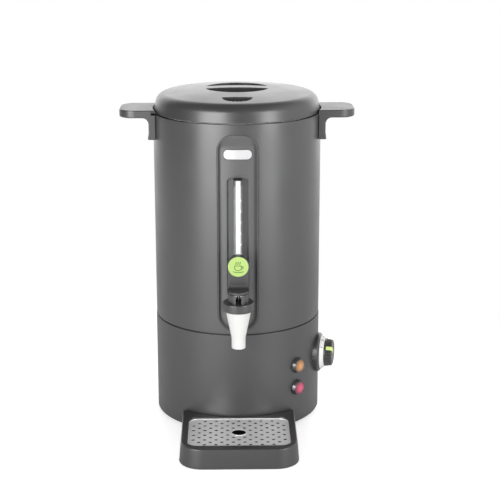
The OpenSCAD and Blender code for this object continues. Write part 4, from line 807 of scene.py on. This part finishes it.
lidSettings = {
    "edge": 109.0, "low": 413.8, "top": 444.5, "dome": 630.9, "shoulder": (93.0, 423.5), "shoulderRadius": 14.0,
    "shoulderFrom": 81.5, "shoulderTo": 10.3,  # degrees
    "brim": 2.6, "brimFoot": 4.2, "inside": 423.5, "steps": 192, "lip": 1.3, "margin": 1.5,
    # radius, cut, corner, middle, side and floor of the two wells beside the grip bar and of the vent
    "recesses": ((41.5, 10.5, 3.0, 0.0, -1, 427.5), (41.5, 10.5, 3.0, 0.0, 1, 427.5),
                 (18.8, 0.0, 1.6, -69.0, -1, 424.2)),
    "wallFoot": ((0.1, 2.6), (0.25, 1.4), (0.7, 0.55), (1.5, 0.1), (2.3, 0.0), (3.2, 0.0)),  # inset and rise
    "rowFirst": 2.0, "rowPitch": 3.95, "rows": 24, "spotPitch": 4.2,  # the mesh on the dome
    "lugRadius": 115.2, "lugInner": 106.9, "lugLow": 413.0, "lugHigh": 415.0, "lugFrom": 5.0, "lugTo": 15.5,
}


def halfMoonLoop(radius, cut, corner, middle, side, inset):
    # a disc's part beyond a straight cut, towards -Y for side -1 and towards +Y for side 1
    r, c = radius - inset, cut + inset
    reach = math.acos(c / r)  # from the -Y direction to the corner
    trim = corner / r
    points = [Vector((r * math.sin(a), -r * math.cos(a))) for a in spread(trim - reach, reach - trim, 56)]
    end = math.sqrt(r * r - c * c)
    tip, back = Vector((end, -c)), Vector((end - corner, -c))
    bend = [points[-1] * (1 - t) ** 2 + tip * 2 * t * (1 - t) + back * t * t for t in (0.17, 0.33, 0.5, 0.67, 0.83)]
    chord = [Vector((x, -c)) for x in spread(back.x, -back.x, 28)]
    mirrored = [Vector((-p.x, p.y)) for p in reversed(bend)]
    return [(p.x, -side * p.y + middle) for p in points + bend + chord + mirrored]


def sweep(section, first, last, steps):
    # rings of a (radius, height) section turned through part of a circle, in degrees
    return [[(r * math.cos(a), r * math.sin(a), z) for r, z in section]
            for a in spread(math.radians(first), math.radians(last), steps)]


def makeLid(s):
    def dome(x, y):
        return (x, y, s["top"] - s["dome"] + math.sqrt(s["dome"] ** 2 - x * x - y * y))

    def moon(recess, inset):
        return halfMoonLoop(*recess[:5], inset)

    shape = newShape()
    ends = (math.radians(s["shoulderFrom"]), math.radians(s["shoulderTo"]))
    profile = arcPoints(*s["shoulder"], s["shoulderRadius"], *ends, 14)
    rim = profile[0][0]
    profile[0] = (rim, dome(rim, 0)[2])
    lower = [profile[-1], (s["edge"], s["low"]), (s["edge"] - s["brim"], s["low"]),
             (s["edge"] - s["brimFoot"], s["inside"]), (0, s["inside"])]
    lower = rounded(lower, [0, 0.7, 0.5, 0.5, 0], 4, closed=False)
    addTurned(shape, profile + lower[1:], steps=s["steps"])
    lip = s["lip"]
    for recess in s["recesses"]:
        rings = []
        for a in quarter(5):  # the rounded lip that follows the dome
            inset, drop = -lip * (1 - math.sin(a)), lip * (1 - math.cos(a))
            rings.append([(x, y, dome(x, y)[2] - drop) for x, y in moon(recess, inset)])
        rings += [[(x, y, recess[5] + rise) for x, y in moon(recess, inset)] for inset, rise in s["wallFoot"]]
        addRings(shape, rings, capEnd=True)
    spots = []
    for k in range(s["rows"]):
        r = s["rowFirst"] + k * s["rowPitch"]
        count = max(6, int(2 * math.pi * r / s["spotPitch"]))
        spots += [onCircle(r, a + math.pi / count * (k % 2)) for a in fullTurn(count)]
    near = np.zeros(len(spots), bool)
    for recess in s["recesses"]:
        near |= insideLoop(np.array(spots), moon(recess, -lip - s["margin"]))
    addSheet(shape, disc(0, 0, rim, s["steps"]), [moon(recess, -lip) for recess in s["recesses"]],
             dome, [p for p, close in zip(spots, near) if not close])
    section = rectangle(s["lugInner"], s["lugLow"], s["lugRadius"], s["lugHigh"])
    section = rounded(section, [0, 0.5, 0.5, 0], 3)
    for turn in (0, 180):  # bayonet lugs
        addBar(shape, sweep(section, turn + s["lugFrom"], turn + s["lugTo"], 12))
    addPiece("lidCover", shape, "lid_plastic", "lid", "lid_cover")


makeLid(lidSettings)
print("lid is made")

# handles

handleSettings = {
    "out": 153.5, "half": 33.0, "corner": 20.0, "top": 418.0, "under": 408.0, "leg": 114.7, "flare": 116.0,
    "flareHigh": 9.0, "legLow": 379.5, "hollow": 8.0, "body": 110.05, "edge": 1.9, "side": 1.4,
    "backEdge": 1.5, "flareEdge": 1.6,
    # where the sections stand: mm on the straight part, then degrees round the corner
    "straight": (0.0, 4.5, 9.0), "round": (0, 12, 24, 35, 45, 54, 62, 69, 75, 80, 84, 87, 90),
    # the slot that the lid's lug runs in
    "slotLow": 411.6, "slotHigh": 415.7, "slotInner": 100.0, "slotRadius": 116.2, "slotFrom": 2.5, "slotTo": 42.5,
}


def makeHandle(name, node, turn, s):
    place = Matrix.Rotation(math.radians(turn), 4, "Z")
    straight = s["half"] - s["corner"]
    stations = [*s["straight"], *(straight + s["corner"] * math.sin(math.radians(a)) for a in s["round"])]
    hollow = arcPoints(s["leg"] + s["hollow"], s["under"] - s["hollow"], s["hollow"], math.pi / 2, math.pi, 8)
    radii = [s["backEdge"], s["flareEdge"], 0] + [0] * len(hollow) + [s["edge"], s["edge"], s["backEdge"]]
    rings = []
    for y in [-v for v in reversed(stations[1:])] + stations:
        beyond = max(abs(y) - straight, 0)
        out = s["out"] - s["corner"] + math.sqrt(max(s["corner"] ** 2 - beyond ** 2, 0))
        near = math.sqrt(s["body"] ** 2 - y * y)
        corners = [(near, s["legLow"]), (s["flare"], s["legLow"]), (s["leg"], s["legLow"] + s["flareHigh"])]
        corners += hollow[::-1] + [(out, s["under"]), (out, s["top"]), (near, s["top"])]
        past = max(abs(y) - (s["half"] - s["side"]), 0)
        inset = s["side"] - math.sqrt(s["side"] ** 2 - past ** 2)
        outline = offsetLoop(rounded(corners, radii, 5), inset)
        rings.append([place @ Vector((p.x, y, p.y)) for p in outline])
    shape, cutter = newShape(), newShape()
    addBar(shape, rings)
    piece = meshObject(name, shape, "handle_plastic")
    section = rectangle(s["slotInner"], s["slotLow"], s["slotRadius"], s["slotHigh"])
    addBar(cutter, sweep(section, turn + s["slotFrom"], turn + s["slotTo"], 32))
    cutWith(piece, meshObject("slotCutter", cutter, "handle_plastic"))
    settle(piece, "urn", node)


makeHandle("rightHandle", "handle_right", 0, handleSettings)
makeHandle("leftHandle", "handle_left", 180, handleSettings)
print("handles are made")

# tap

tapSettings = {
    "y": -150.0, "tip": 8.75, "tipLow": 136.0, "tipHigh": 149.0, "cone": 16.25, "coneHigh": 186.5, "bore": 6.2,
    "spigot": 15.0, "spigotHigh": 192.0, "chamber": 10.5, "chamberLow": 171.0,
    "shankZ": 177.5, "shank": 9.0, "shankFrom": 90.0, "shankTo": 143.0, "washer": 12.0, "washerFrom": 99.0,
    "washerTo": 101.4, "socketY": -107.0, "socketBore": 7.05, "socket": 8.2, "socketLow": 179.0, "socketHigh": 195.5,
    "collar": 19.7, "collarLow": 185.5, "collarHigh": 197.0, "collarEdge": 1.6, "collarBore": 16.4,
    "collarLedge": 186.6,
    "capBore": 15.1, "capLow": 192.2, "capHigh": 196.4, "stemBore": 1.7,
    "neck": 13.0, "neckCavity": 9.8, "neckHigh": 208.0, "slotHalf": 3.55, "earHalf": 12.4, "earInner": 8.2,
    "earBack": 22.0,
}


def makeTap(s):
    stand = Matrix.Translation((0, s["y"], 0))
    body, collar = newShape(), newShape()
    outline = [(s["bore"], s["tipLow"]), (s["tip"], s["tipLow"]), (s["tip"], s["tipHigh"]),
               (s["cone"], s["coneHigh"]), (s["spigot"], s["coneHigh"]), (s["spigot"], s["spigotHigh"]),
               (s["chamber"], s["spigotHigh"]), (s["chamber"], s["chamberLow"]), (s["bore"], s["chamberLow"])]
    addTurned(body, rounded(outline, [0.4, 0.8, 3.0, 0.4, 0, 0, 0, 0, 0], 5), stand, loop=True)
    shank = [(0, s["shankFrom"]), (s["shank"], s["shankFrom"]), (s["shank"], s["washerFrom"]),
             (s["washer"], s["washerFrom"]), (s["washer"], s["washerTo"]), (s["shank"], s["washerTo"]),
             (s["shank"], s["shankTo"]), (0, s["shankTo"])]
    shank = rounded(shank, [0, 0, 0, 0.5, 0.6, 0.6, 0, 0], 3, closed=False)
    addTurned(body, shank, radialPlace(0, s["shankZ"]), steps=64)
    socket = rounded(rectangle(s["socketBore"], s["socketLow"], s["socket"], s["socketHigh"]), [0, 0, 0.4, 0.2], 3)
    addTurned(body, socket, Matrix.Translation((0, s["socketY"], 0)), steps=48, loop=True)
    addPiece("tapBody", body, "nozzle_white", "urn", "tap_body")
    outline = [(s["collarBore"], s["collarLow"]), (s["collar"], s["collarLow"]), (s["collar"], s["collarHigh"]),
               (s["neckCavity"], s["collarHigh"]), (s["neckCavity"], s["capHigh"]), (s["stemBore"], s["capHigh"]),
               (s["stemBore"], s["capLow"]), (s["capBore"], s["capLow"]), (s["capBore"], s["collarLedge"]),
               (s["collarBore"], s["collarLedge"])]
    profile = rounded(outline, [0.3, s["collarEdge"], s["collarEdge"], 0.2, 0, 0, 0, 0, 0, 0], 5)
    addTurned(collar, profile, stand, loop=True)
    neck, cavity, slot, ear, gap = s["neck"], s["neckCavity"], s["slotHalf"], s["earHalf"], s["earInner"]
    cheek = arcPoints(0, 0, neck, -math.acos(slot / neck), math.acos(ear / neck), 20)
    cheek += [(ear, s["earBack"]), (gap, s["earBack"])]
    cheek += arcPoints(0, 0, cavity, math.acos(gap / cavity), -math.acos(slot / cavity), 16)
    high = s["neckHigh"]
    levels = [(0, s["collarHigh"] - 0.2), (0, high - 0.6), (0.15, high - 0.18), (0.5, high)]
    for outline in (cheek, [(-x, y) for x, y in reversed(cheek)]):
        addSlab(collar, outline, levels, stand)
    addPiece("tapCollar", collar, "tap_plastic", "urn", "tap_collar")


leverSettings = {
    "half": 13.0, "crown": 13.3, "crownZ": 238.7, "low": 210.0, "face": -139.0, "back": -127.0, "edge": 0.9,
    "footRadius": 12.6, "footLow": 208.4, "footHigh": 211.0, "footEdge": 0.5, "lap": 2.0,
    "fillet": 4.0, "filletHalf": 12.0, "sunk": 0.6,
    "pivotY": -132.0, "pivotZ": 205.0, "barrel": 4.8, "barrelHalf": 7.9, "pin": 1.6, "web": 9.5,
}


def makeLever(s, tapY):
    shape = newShape()
    reach = math.asin(math.sqrt(s["crown"] ** 2 - s["half"] ** 2) / s["crown"])
    crown = arcPoints(0, s["crownZ"], s["crown"], -reach, math.pi + reach, 48)
    outline = [(s["half"], s["low"])] + crown + [(-s["half"], s["low"])]
    addSlab(shape, outline, softLevels(-s["back"], -s["face"], s["edge"]), facing)
    foot = [(x, s["face"] + s["lap"]) for x in (s["footRadius"], -s["footRadius"])]
    foot += arcPoints(0, tapY, s["footRadius"], math.pi, 2 * math.pi, 32)
    addSlab(shape, foot, softLevels(s["footLow"], s["footHigh"], s["footEdge"]))
    f, y, z = s["fillet"], s["face"], s["footHigh"]
    profile = [(y + s["sunk"], z - s["sunk"]), (y + s["sunk"], z + f)]
    profile += arcPoints(y - f, z + f, f, 0, -math.pi / 2, 8) + [(y - f, z - s["sunk"])]
    addSlab(shape, profile, [(0, -s["filletHalf"]), (0, s["filletHalf"])], sideways)
    r, half, web = s["barrel"], s["barrelHalf"], s["web"]
    hinge = Matrix.Translation((0, s["pivotY"], s["pivotZ"])) @ sideways
    addSlab(shape, rectangle(-r, 0, r, web), [(0, -half), (0, half)], hinge)
    barrel = rounded(rectangle(s["pin"], -half, r, half), [0, 0.4, 0.4, 0], 3)
    addTurned(shape, barrel, hinge, steps=48, loop=True)
    addPiece("tapLever", shape, "lever_plastic", "lever", "tap_lever")


buttonSettings = {
    "radius": 13.0, "z": 238.7, "back": 139.0, "dish": 0.72, "level": 6, "spigot": 8.9, "spigotDeep": 1.4,
    # the rim: how far in from the edge, and how far out from the back
    "rim": ((2.9, 0.72), (2.2, 0.76), (1.6, 0.9), (1.0, 0.99), (0.55, 0.93), (0.2, 0.7), (0.03, 0.4), (0, 0.1),
            (0, 0)),
    "line": 0.5, "lineDepth": 0.22, "thin": 0.85,
    "cup": ((-4.6, 1.2), (-4.5, -1.6), (-3.9, -3.3), (-2.6, -4.4), (-0.8, -4.8), (1.0, -4.8), (2.6, -4.2),
            (3.5, -3.0), (3.9, -1.4), (4.0, 1.2)),
    "ear": ((3.9, 0.2), (5.4, 0.5), (6.3, -0.7), (5.6, -2.2), (3.6, -2.9)),
    "saucer": ((-6.6, -6.0), (-4.0, -6.9), (0, -7.2), (4.0, -6.9), (6.6, -6.0)),
    "steam": ((0, 2.6), (-0.8, 3.7), (0.6, 5.1), (-0.1, 6.6)), "steamAt": (-2.8, -0.2, 2.4),
}


def addStroke(shape, path, width, depth, place):
    # a raised line along a path in the local XY plane
    rings = []
    for i, p in enumerate(path):
        side = (path[min(i + 1, len(path) - 1)] - path[max(i - 1, 0)]).normalized()
        side = Vector((-side.y, side.x))
        rings.append([place @ Vector((p.x + side.x * u, p.y + side.y * u, v))
                      for u, v in ((width * math.cos(a), depth * math.sin(a)) for a in fullTurn(8))])
    addBar(shape, rings)


def smoothPath(points, steps=6):
    # a smooth line through the points
    points = [Vector(p) for p in points]
    path = []
    for i in range(len(points) - 1):
        p0, p1, p2, p3 = points[max(i - 1, 0)], points[i], points[i + 1], points[min(i + 2, len(points) - 1)]
        for k in range(steps):
            t = k / steps
            path.append((p1 * 2 + (p2 - p0) * t + (p0 * 2 - p1 * 5 + p2 * 4 - p3) * t * t
                         + (p1 * 3 - p0 - p2 * 3 + p3) * t * t * t) / 2)
    return path + [points[-1]]


def makeButton(s):
    place = Matrix.Translation((0, 0, s["z"])) @ facing
    face, r = s["back"], s["radius"]
    shape, ink = newShape(), newShape()
    profile = [(0, face + s["dish"]), (s["level"], face + s["dish"])]
    profile += [(r - inset, face + rise) for inset, rise in s["rim"]]
    profile += [(s["spigot"], face), (s["spigot"], face - s["spigotDeep"]), (0, face - s["spigotDeep"])]
    addTurned(shape, profile, place)
    addPiece("buttonDisc", shape, "button_green", "lever", "tap_button")
    here = place @ Matrix.Translation((0, 0, face + s["dish"]))
    wide, deep = s["line"], s["lineDepth"]
    addStroke(ink, smoothPath(s["cup"]) + [Vector(s["cup"][0])], wide, deep, here)
    for path in (s["ear"], s["saucer"]):
        addStroke(ink, smoothPath(path), wide, deep, here)
    for x in s["steamAt"]:
        addStroke(ink, smoothPath([(x + dx, y) for dx, y in s["steam"]]), wide * s["thin"], deep, here)
    settle(meshObject("buttonCup", ink, "pictogramInk"), "lever", "tap_button")


makeTap(tapSettings)
makeLever(leverSettings, tapSettings["y"])
makeButton(buttonSettings)
print("tap is made")

# thermostat knob and lamps

knobSettings = {
    "azimuth": 78.0, "z": 84.5, "bore": 8.0,
    "flange": 26.6, "flangeBack": 106.9, "flangeFace": 113.5, "flangeTop": 24.0,
    "dial": 23.3, "dialTop": 19.8, "dialFace": 116.0, "dialEnd": 121.2, "dialSunk": 0.3,
    "start": 121.5, "end": 132.0, "radius": 18.8, "tip": 17.3,
    # the cap: radius and how far below the end; the skirt: inset and how far above the start
    "cap": ((0, 0.35), (9, 0.35), (12.5, 0.25), (14.2, 0), (15.0, 0), (15.8, 0.25), (16.3, 0.8), (16.5, 1.6)),
    "skirt": ((1.15, 2.4), (0.9, 2.0), (0.3, 1.75), (0, 1.4), (0, 0.3), (0.3, 0)),
    "ribs": 24, "ribInner": 14.0, "ribHalf": 1.5, "ribEdge": 0.95, "ribLow": 1.2, "ribHigh": 0.5,
    # share of the rib's height, and how far it draws in there
    "ribEnd": ((0, 0.0), (0.5, 0.0), (0.85, 0.0), (0.93, 0.15), (0.98, 0.5), (1.0, 1.1)),
    "ticks": 10, "tickHalf": 1.7, "tickWide": 0.34, "tickEdge": 0.2, "tickStep": -30.0, "tilt": 144.0,
    "pointerHalf": 2.45, "pointerEdge": 0.4, "pointerFrom": 4.0, "pointerBend": 15.6, "pointerTo": 18.5,
}


def makeKnob(s):
    place = radialPlace(s["azimuth"], s["z"])
    flange, dial, tick, core, rib, pointer = (newShape() for _ in range(6))
    bore, low, top = s["bore"], s["dialFace"] - s["dialSunk"], s["dialTop"]
    outline = [(bore, s["flangeBack"]), (s["flange"], s["flangeBack"]), (s["flange"], s["flangeFace"]),
               (s["flangeTop"], s["dialFace"]), (bore, s["dialFace"])]
    addTurned(flange, rounded(outline, [0, 0, 0.9, 0.4, 0], 4), place, steps=120, loop=True)
    addPiece("knobFlange", flange, "flange_plastic", "urn", "knob_flange")
    outline = [(bore, low), (s["dial"], low), (top, s["dialEnd"]), (bore, s["dialEnd"])]
    addTurned(dial, rounded(outline, [0, 0, 0.4, 0], 4), place, steps=120, loop=True)
    addPiece("dialRing", dial, "dial_white", "urn", "dial_ring")
    lean = math.atan2(s["dial"] - top, s["dialEnd"] - s["dialFace"])
    mid = Matrix.Translation(((s["dial"] + top) / 2, 0, (s["dialFace"] + s["dialEnd"]) / 2))
    outline = rectangle(-s["tickHalf"], -s["tickWide"], s["tickHalf"], s["tickWide"])
    outline = rounded(outline, s["tickEdge"], 3)
    swing = Matrix.Rotation(math.pi / 2 - lean, 4, "Y")
    addSlab(tick, outline, [(0, -0.2), (0, 0.03), (0.05, 0.07)], mid @ swing)
    ticks = repeated("dialTicks", tick, "printInk", s["ticks"], s["tickStep"], s["tilt"], place=place)
    settle(ticks, "urn", "dial_ring")
    r, tip, lo, hi = s["radius"], s["tip"], s["start"], s["end"]
    profile = [(radius, hi - drop) for radius, drop in s["cap"]]
    profile += [(r - inset, lo + rise) for inset, rise in s["skirt"]] + [(0, lo)]
    addTurned(core, profile, steps=120)
    ribLow, ribHigh = lo + s["ribLow"], hi - s["ribHigh"]
    rings = []
    for t, shrink in s["ribEnd"]:
        inner, out, wide = s["ribInner"], r + (tip - r) * t - shrink, s["ribHalf"] - shrink / 2
        edge = s["ribEdge"] - shrink * 0.3
        section = rounded(rectangle(inner, -wide, out, wide), [0, edge, edge, 0], 4)
        rings.append([(p.x, p.y, ribLow + (ribHigh - ribLow) * t) for p in section])
    addBar(rib, rings)
    grip = repeated("knobGrip", rib, "knob_plastic", s["ribs"], 360 / s["ribs"], place=place, core=core)
    settle(grip, "dial_knob", "knob")
    near, bend, far = s["pointerFrom"], s["pointerBend"], s["pointerTo"]
    outline = rounded([(near, hi - 0.8), (bend, hi - 0.8), (bend, lo + 2.5), (far, lo + 2.5), (far, hi + 0.6),
                       (near, hi + 0.6)], [0, 0, 0.3, 0.5, 0.9, 0.5], 4)
    aim = place @ Matrix.Rotation(math.radians(s["tilt"]), 4, "Z")
    addSlab(pointer, outline, softLevels(-s["pointerHalf"], s["pointerHalf"], s["pointerEdge"]), aim @ facing)
    addPiece("knobPointer", pointer, "pointer_lime", "dial_knob", "knob_pointer")


lampSettings = {
    "azimuth": 44.5, "heights": {"amber": 86.0, "red": 55.0}, "bore": 8.4, "outer": 10.65, "mouth": 9.4,
    "back": 108.5, "side": 112.5, "face": 116.5, "dome": 117.4, "sphere": 40.0,
    "lens": (0, 1.5, 3, 4.5, 6, 7, 7.7),  # radii on the dome
    "lensEdge": ((8.05, 116.45), (8.25, 116.2), (8.3, 115.9), (8.3, 112.1), (0, 112.1)),
}


def makeLamp(name, z, s):
    place = radialPlace(s["azimuth"], z)
    ring, lens = newShape(), newShape()
    outline = [(s["bore"], s["back"]), (s["outer"], s["back"]), (s["outer"], s["side"]), (s["mouth"], s["face"]),
               (s["bore"], s["face"])]
    addTurned(ring, rounded(outline, [0, 0, 0.9, 0.45, 0.3], 4), place, steps=72, loop=True)
    addPiece(name + "Bezel", ring, "bezel_gloss", "urn", name + "_bezel")
    profile = [(r, s["dome"] - s["sphere"] + math.sqrt(s["sphere"] ** 2 - r * r)) for r in s["lens"]]
    addTurned(lens, profile + list(s["lensEdge"]), place, steps=72)
    addPiece(name + "Lens", lens, "lens_" + name, "urn", name + "_lens")


makeKnob(knobSettings)
for name, height in lampSettings["heights"].items():
    makeLamp(name, height, lampSettings)
print("knob and lamps are made")

# drip tray and grid

traySettings = {
    "half": 75.5, "front": 220.0, "corner": 30.0, "back": 111.5,
    # pairs of inset and height: the outside from below, then the well from its lip down
    "outside": ((0.7, 1.0), (0.25, 1.15), (0.0, 1.6), (0.35, 6.0), (1.0, 14.0), (1.65, 22.0), (1.95, 25.2),
                (2.1, 25.9), (2.4, 26.45), (2.85, 26.82), (3.4, 27.0)),
    "well": ((-1.0, 27.0), (-0.65, 26.93), (-0.4, 26.7), (-0.3, 26.3), (-0.3, 22.6), (-0.1, 22.4), (4.3, 22.4),
             (4.5, 22.1), (4.6, 5.5), (5.0, 4.2), (5.9, 3.6), (7.0, 3.5)),
    "tongueHalf": 38.0, "tongueFront": -118.0, "tongueBack": -74.5, "tongueLow": 1.0, "tongueHigh": 3.4,
    "tongueCorner": 4.0, "tongueEdge": 0.3,
}
gridSettings = {
    "half": 65.0, "depth": 91.0, "corner": 13.0, "y": 159.5, "top": 24.6, "sheet": 0.35,
    "fold": 25.3, "foldLow": 22.6, "foldWidth": 1.1,
    "drain": 9.0, "rim": 10.0, "hole": 2.2, "across": 14.5, "along": 7.5,
    "clear": 3.6, "cornerAcross": 3.2, "cornerAlong": 4.5,  # holes left out at the drain and in the corners
}


def trayLoop(s, inset):
    # outline with round front corners and a back that follows the base
    w, front, r, back = s["half"] - inset, s["front"] - inset, s["corner"] - inset, s["back"] + inset
    reach = math.asin(w / back)
    depth = back * math.cos(reach)
    loop = [(back * math.sin(a), -back * math.cos(a)) for a in spread(reach, -reach, 40)]
    loop += [(-w, -y) for y in spread(depth, front - r, 6)[1:]]
    loop += arcPoints(r - w, r - front, r, math.pi, 1.5 * math.pi, 14)[1:]
    loop += [(x, -front) for x in spread(r - w, w - r, 8)[1:]]
    loop += arcPoints(w - r, r - front, r, -math.pi / 2, 0, 14)[1:]
    loop += [(w, -y) for y in spread(front - r, depth, 6)[1:-1]]
    return loop


def gridLoop(s, inset):
    low, high = -s["y"] - s["depth"] / 2, -s["y"] + s["depth"] / 2
    return slotLoop({"half": s["half"], "low": low, "high": high, "corner": s["corner"]}, inset)


def addLevels(shape, loopAt, settings, levels):
    # stacks an outline at (inset, height) levels
    addRings(shape, [[(x, y, z) for x, y in loopAt(settings, inset)] for inset, z in levels])


def makeTray(s, grid):
    shape = newShape()
    addLevels(shape, trayLoop, s, s["outside"])
    addLevels(shape, gridLoop, grid, s["well"])
    (under, low), (over, high) = s["outside"][0], s["outside"][-1]
    (mouth, _), (bottom, floor) = s["well"][0], s["well"][-1]
    addSheet(shape, trayLoop(s, under), [], flatAt(low))
    addSheet(shape, trayLoop(s, over), [gridLoop(grid, mouth)], flatAt(high))
    addSheet(shape, gridLoop(grid, bottom), [], flatAt(floor))
    w, front, back, edge = s["tongueHalf"], s["tongueFront"], s["tongueBack"], s["tongueEdge"]
    tongue = rounded(rectangle(-w, front, w, back), [0, 0, s["tongueCorner"], s["tongueCorner"]], 5)
    addSlab(shape, tongue, [(edge, s["tongueLow"]), (0, s["tongueLow"] + edge), (0, s["tongueHigh"] - edge),
                            (edge, s["tongueHigh"])])
    addPiece("dripTray", shape, "tray_plastic", "tray", "drip_tray")


def makeGrid(s):
    shape = newShape()
    low, top, fold, foldLow, width = s["top"] - s["sheet"], s["top"], s["fold"], s["foldLow"], s["foldWidth"]
    addLevels(shape, gridLoop, s, [
        (width, low), (width, foldLow + 0.1), (0.9, foldLow), (0.15, foldLow), (0, foldLow + 0.2), (0, fold - 0.45),
        (0.12, fold - 0.15), (0.4, fold), (0.7, fold), (0.98, fold - 0.12), (width, fold - 0.4), (width, top)])
    rim = [(s["rim"], top), (s["rim"], top + 0.3), (s["rim"] - 0.15, top + 0.47), (s["rim"] - 0.4, top + 0.5),
           (s["drain"] + 0.25, top + 0.5), (s["drain"], top + 0.3), (s["drain"], low)]
    addTurned(shape, rim, Matrix.Translation((0, -s["y"], 0)), steps=64)
    for radius, height in ((s["rim"], top), (s["drain"], low)):
        addSheet(shape, gridLoop(s, width), [disc(0, -s["y"], radius, 64)], flatAt(height))
    piece = meshObject("dripGrid", shape, "grid_steel")
    growNodes(piece, perforationTree, {
        "Hole Radius": s["hole"] * mm, "Across": s["across"] * mm, "Along": s["along"] * mm,
        "Middle": (0.0, -s["y"] * mm, (top - s["sheet"] / 2) * mm), "Clear Radius": (s["drain"] + s["clear"]) * mm,
        "Corner Across": s["cornerAcross"] * s["across"] * mm, "Corner Along": s["cornerAlong"] * s["along"] * mm,
        "Finish": finishes["grid_steel"],
    })
    settle(piece, "grid", "drip_grid")


makeTray(traySettings, gridSettings)
makeGrid(gridSettings)
print("tray and grid are made")

# the nodes that stay, and the floor

kept = 0
for part in frame["record"]["subparts"]:
    node = frame["nodes"].get(part["node"])
    if node is not None and not node.hide_render:
        for slot in node.material_slots:
            slot.link = "OBJECT"
            slot.material = finishes[part["material_slot"]]
        kept += 1
print("plain nodes have their finish:", kept)

floorSettings = {
    "radius": 1.9, "steps": 96, "white": 1.0,
    "fade": (0.34, 0.6), "glow": (0.7, 1.1),  # where the paper turns white, for the camera and for all other rays
    "near": 0.5,  # lift of the paper for the camera, which doesn't light the urn from below
}


def makeFloor(s):
    # a disc of paper whose rim glows as white as the backdrop
    mesh = bpy.data.meshes.new("studioFloor")
    points = [(x, y, 0) for x, y in disc(0, 0, s["radius"], s["steps"])]
    mesh.from_pydata(points, [], [tuple(range(s["steps"]))])
    paper = finishes["floorPaper"]
    tree = paper.node_tree
    place = addNode(tree, "ShaderNodeTexCoord").outputs["Object"]
    away = addNode(tree, "ShaderNodeVectorMath", {0: place}, operation="LENGTH").outputs["Value"]
    shader, ray = tree.nodes["Principled BSDF"], cameraRay(tree)
    lift = mathNode(tree, "MULTIPLY", ray, s["near"])
    setInputs(tree, shader, {"Emission Color": white, "Emission Strength": lift})
    glow = addNode(tree, "ShaderNodeEmission", {"Strength": s["white"]})
    whiten = addNode(tree, "ShaderNodeMix", {
        "Factor": ray, "A": rampNode(tree, away, *s["glow"]), "B": rampNode(tree, away, *s["fade"])})
    surfaces = {1: shader.outputs[0], 2: glow.outputs[0]}
    mix = addNode(tree, "ShaderNodeMixShader", {0: whiten.outputs["Result"], **surfaces})
    setInputs(tree, tree.nodes["Material Output"], {"Surface": mix.outputs[0]})
    mesh.materials.append(paper)
    piece = bpy.data.objects.new("studioFloor", mesh)
    scene.collection.objects.link(piece)


makeFloor(floorSettings)

print("all pieces are in place")
